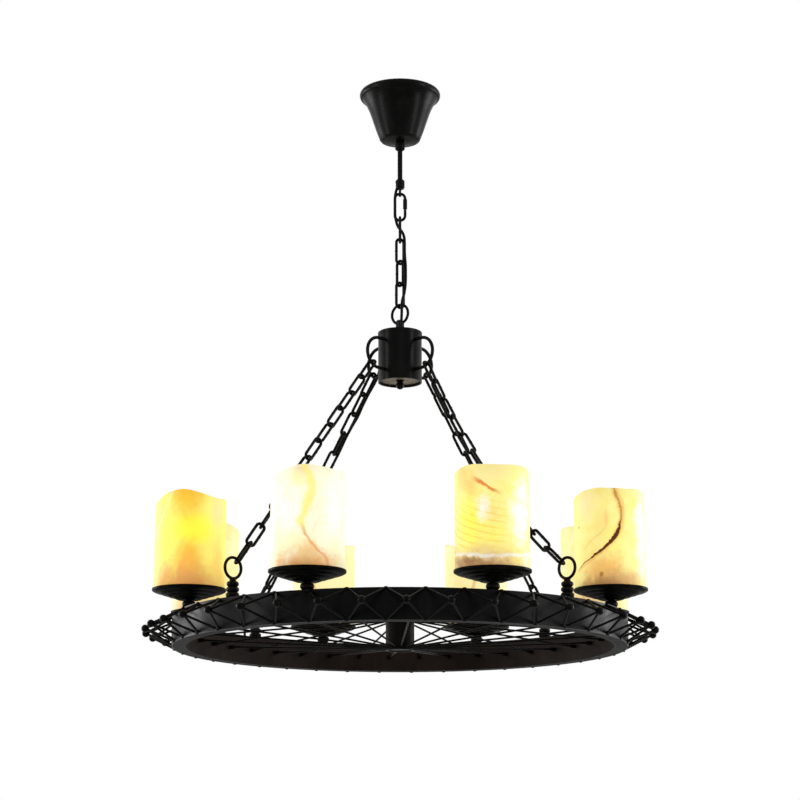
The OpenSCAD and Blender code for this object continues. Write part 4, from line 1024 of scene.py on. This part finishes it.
def uneven(place):  # a noise vector that is the same in every run
    return Vector([noise.noise(place + Vector((apart, 0, 0))) for apart in welds["noisesApart"]])


def beadPiece(name, places, material, body):
    bm = bmesh.new()
    for place in places:
        bmesh.ops.create_icosphere(bm, subdivisions=2, radius=1.0, matrix=place)
    for vertex in bm.verts:
        vertex.co += uneven(vertex.co * welds["roughScale"]) * welds["rough"]
    mesh = bpy.data.meshes.new(name)
    bm.to_mesh(mesh)
    bm.free()
    mesh.materials.append(material)
    piece = placed(mesh)
    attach(piece, body)


seamIron = ironPaint("chainIron")
for number, name in enumerate(centerLinks, 1):
    seams = [seamPlace(link, True) for link in islands(nodes[name].data)]
    beadPiece("linkSeam_%d" % number, seams, seamIron, name)
for number, name in enumerate(sideChains, 1):
    seams = [seamPlace(link, k % 3 == 0) for k, link in enumerate(islands(nodes[name].data))]
    beadPiece("chainSeams_%d" % number, seams, seamIron, "pendant")

beads = []
beadStep = 360 / welds["beads"]
for k in range(welds["beads"]):
    turn = math.radians(welds["beadTurn"] + k * beadStep + beadStep / 2)
    for high in (ringTop - welds["beadUp"], ringLow + welds["beadUp"]):
        place = Vector((ringOuter * math.sin(turn), -ringOuter * math.cos(turn), high))
        turned = Matrix.Translation(place) @ Matrix.Rotation(turn, 4, "Z")
        beads.append(turned @ Matrix.Diagonal((*welds["beadSize"], 1)))
beadPiece("latticeWelds", beads, ironPaint("rodIron"), "pendant")
print("welds laid")


# The room: soft lamps, each turned and raised round the object, a white world and a pale floor
softboxes = {
    "leftBox": {"turn": -72, "up": -0.35, "away": 2.6, "size": (0.36, 2.4), "watts": 34, "aim": -0.5},
    "rightBox": {"turn": 66, "up": -0.35, "away": 2.6, "size": (0.36, 2.4), "watts": 34, "aim": -0.5},
    "leftEdge": {"turn": -116, "up": -0.75, "away": 2.8, "size": (1.1, 1.5), "watts": 46, "aim": -0.7},
    "rightEdge": {"turn": 112, "up": -0.75, "away": 2.8, "size": (1.1, 1.5), "watts": 46, "aim": -0.7},
    "frontBox": {"turn": 8, "up": 0.6, "away": 3.2, "size": (1.6, 1.2), "watts": 4, "aim": -0.7},
}
room = {
    "floorDown": 1.75,
    "floorWide": 34,
    "floorFades": (7, 16),
    "floorTone": (0.86, 0.86, 0.85),
    "world": 0.55,
}


def softbox(name, look):
    data = bpy.data.lights.new(name, "AREA")
    data.shape = "RECTANGLE"
    data.size, data.size_y = look["size"]
    data.energy = look["watts"]
    lamp = bpy.data.objects.new(name, data)
    a = math.radians(look["turn"])
    lamp.location = (look["away"] * math.sin(a), -look["away"] * math.cos(a), look["up"])
    aim = Vector((0, 0, look["aim"])) - lamp.location
    lamp.rotation_euler = aim.to_track_quat("-Z", "Y").to_euler()
    bpy.context.scene.collection.objects.link(lamp)


def paleWorld():  # white where it is seen, plainer where it lights the object
    sky = NodeTree(bpy.data.worlds.new("paleRoom"))
    seen = sky.add("ShaderNodeLightPath", {}, {}, "Is Camera Ray")
    for ray in ("Is Glossy Ray", "Is Transmission Ray"):
        seen = seen.math("MAXIMUM", sky.add("ShaderNodeLightPath", {}, {}, ray))
    strength = sky.add("ShaderNodeMapRange", {}, {"Value": seen, "To Min": room["world"], "To Max": 1.0})
    white = sky.add("ShaderNodeBackground", {}, {"Color": tone(1, 1, 1), "Strength": strength})
    return sky.end("ShaderNodeOutputWorld", white)


def floorPaint():  # it fades out far away, and isn't seen from below
    paint = Paint("paleFloor")
    behind = paint.add("ShaderNodeNewGeometry", {}, {}, "Backfacing")
    plain = paint.add("ShaderNodeBsdfDiffuse", {}, {"Color": tone(*room["floorTone"])})
    clear = paint.add("ShaderNodeBsdfTransparent", {}, {})
    x, y = paint.axes()[:2]
    faded = behind.math("MAXIMUM", ((x ** 2 + y ** 2) ** 0.5).rise(*room["floorFades"]))
    both = paint.add("ShaderNodeMixShader", {}, {0: faded, 1: plain, 2: clear})
    return paint.end("ShaderNodeOutputMaterial", both)


for name, look in softboxes.items():
    softbox(name, look)
bpy.context.scene.world = paleWorld()
half = room["floorWide"] / 2
corners = [(-half, -half, 0), (half, -half, 0), (half, half, 0), (-half, half, 0)]
floor = objectFrom("paleFloor", corners, [(0, 1, 2, 3)])
floor.location = (0, 0, ringLow - room["floorDown"])
floor.data.materials.append(floorPaint())
bpy.context.scene.view_settings.view_transform = "Standard"
print("room lit")
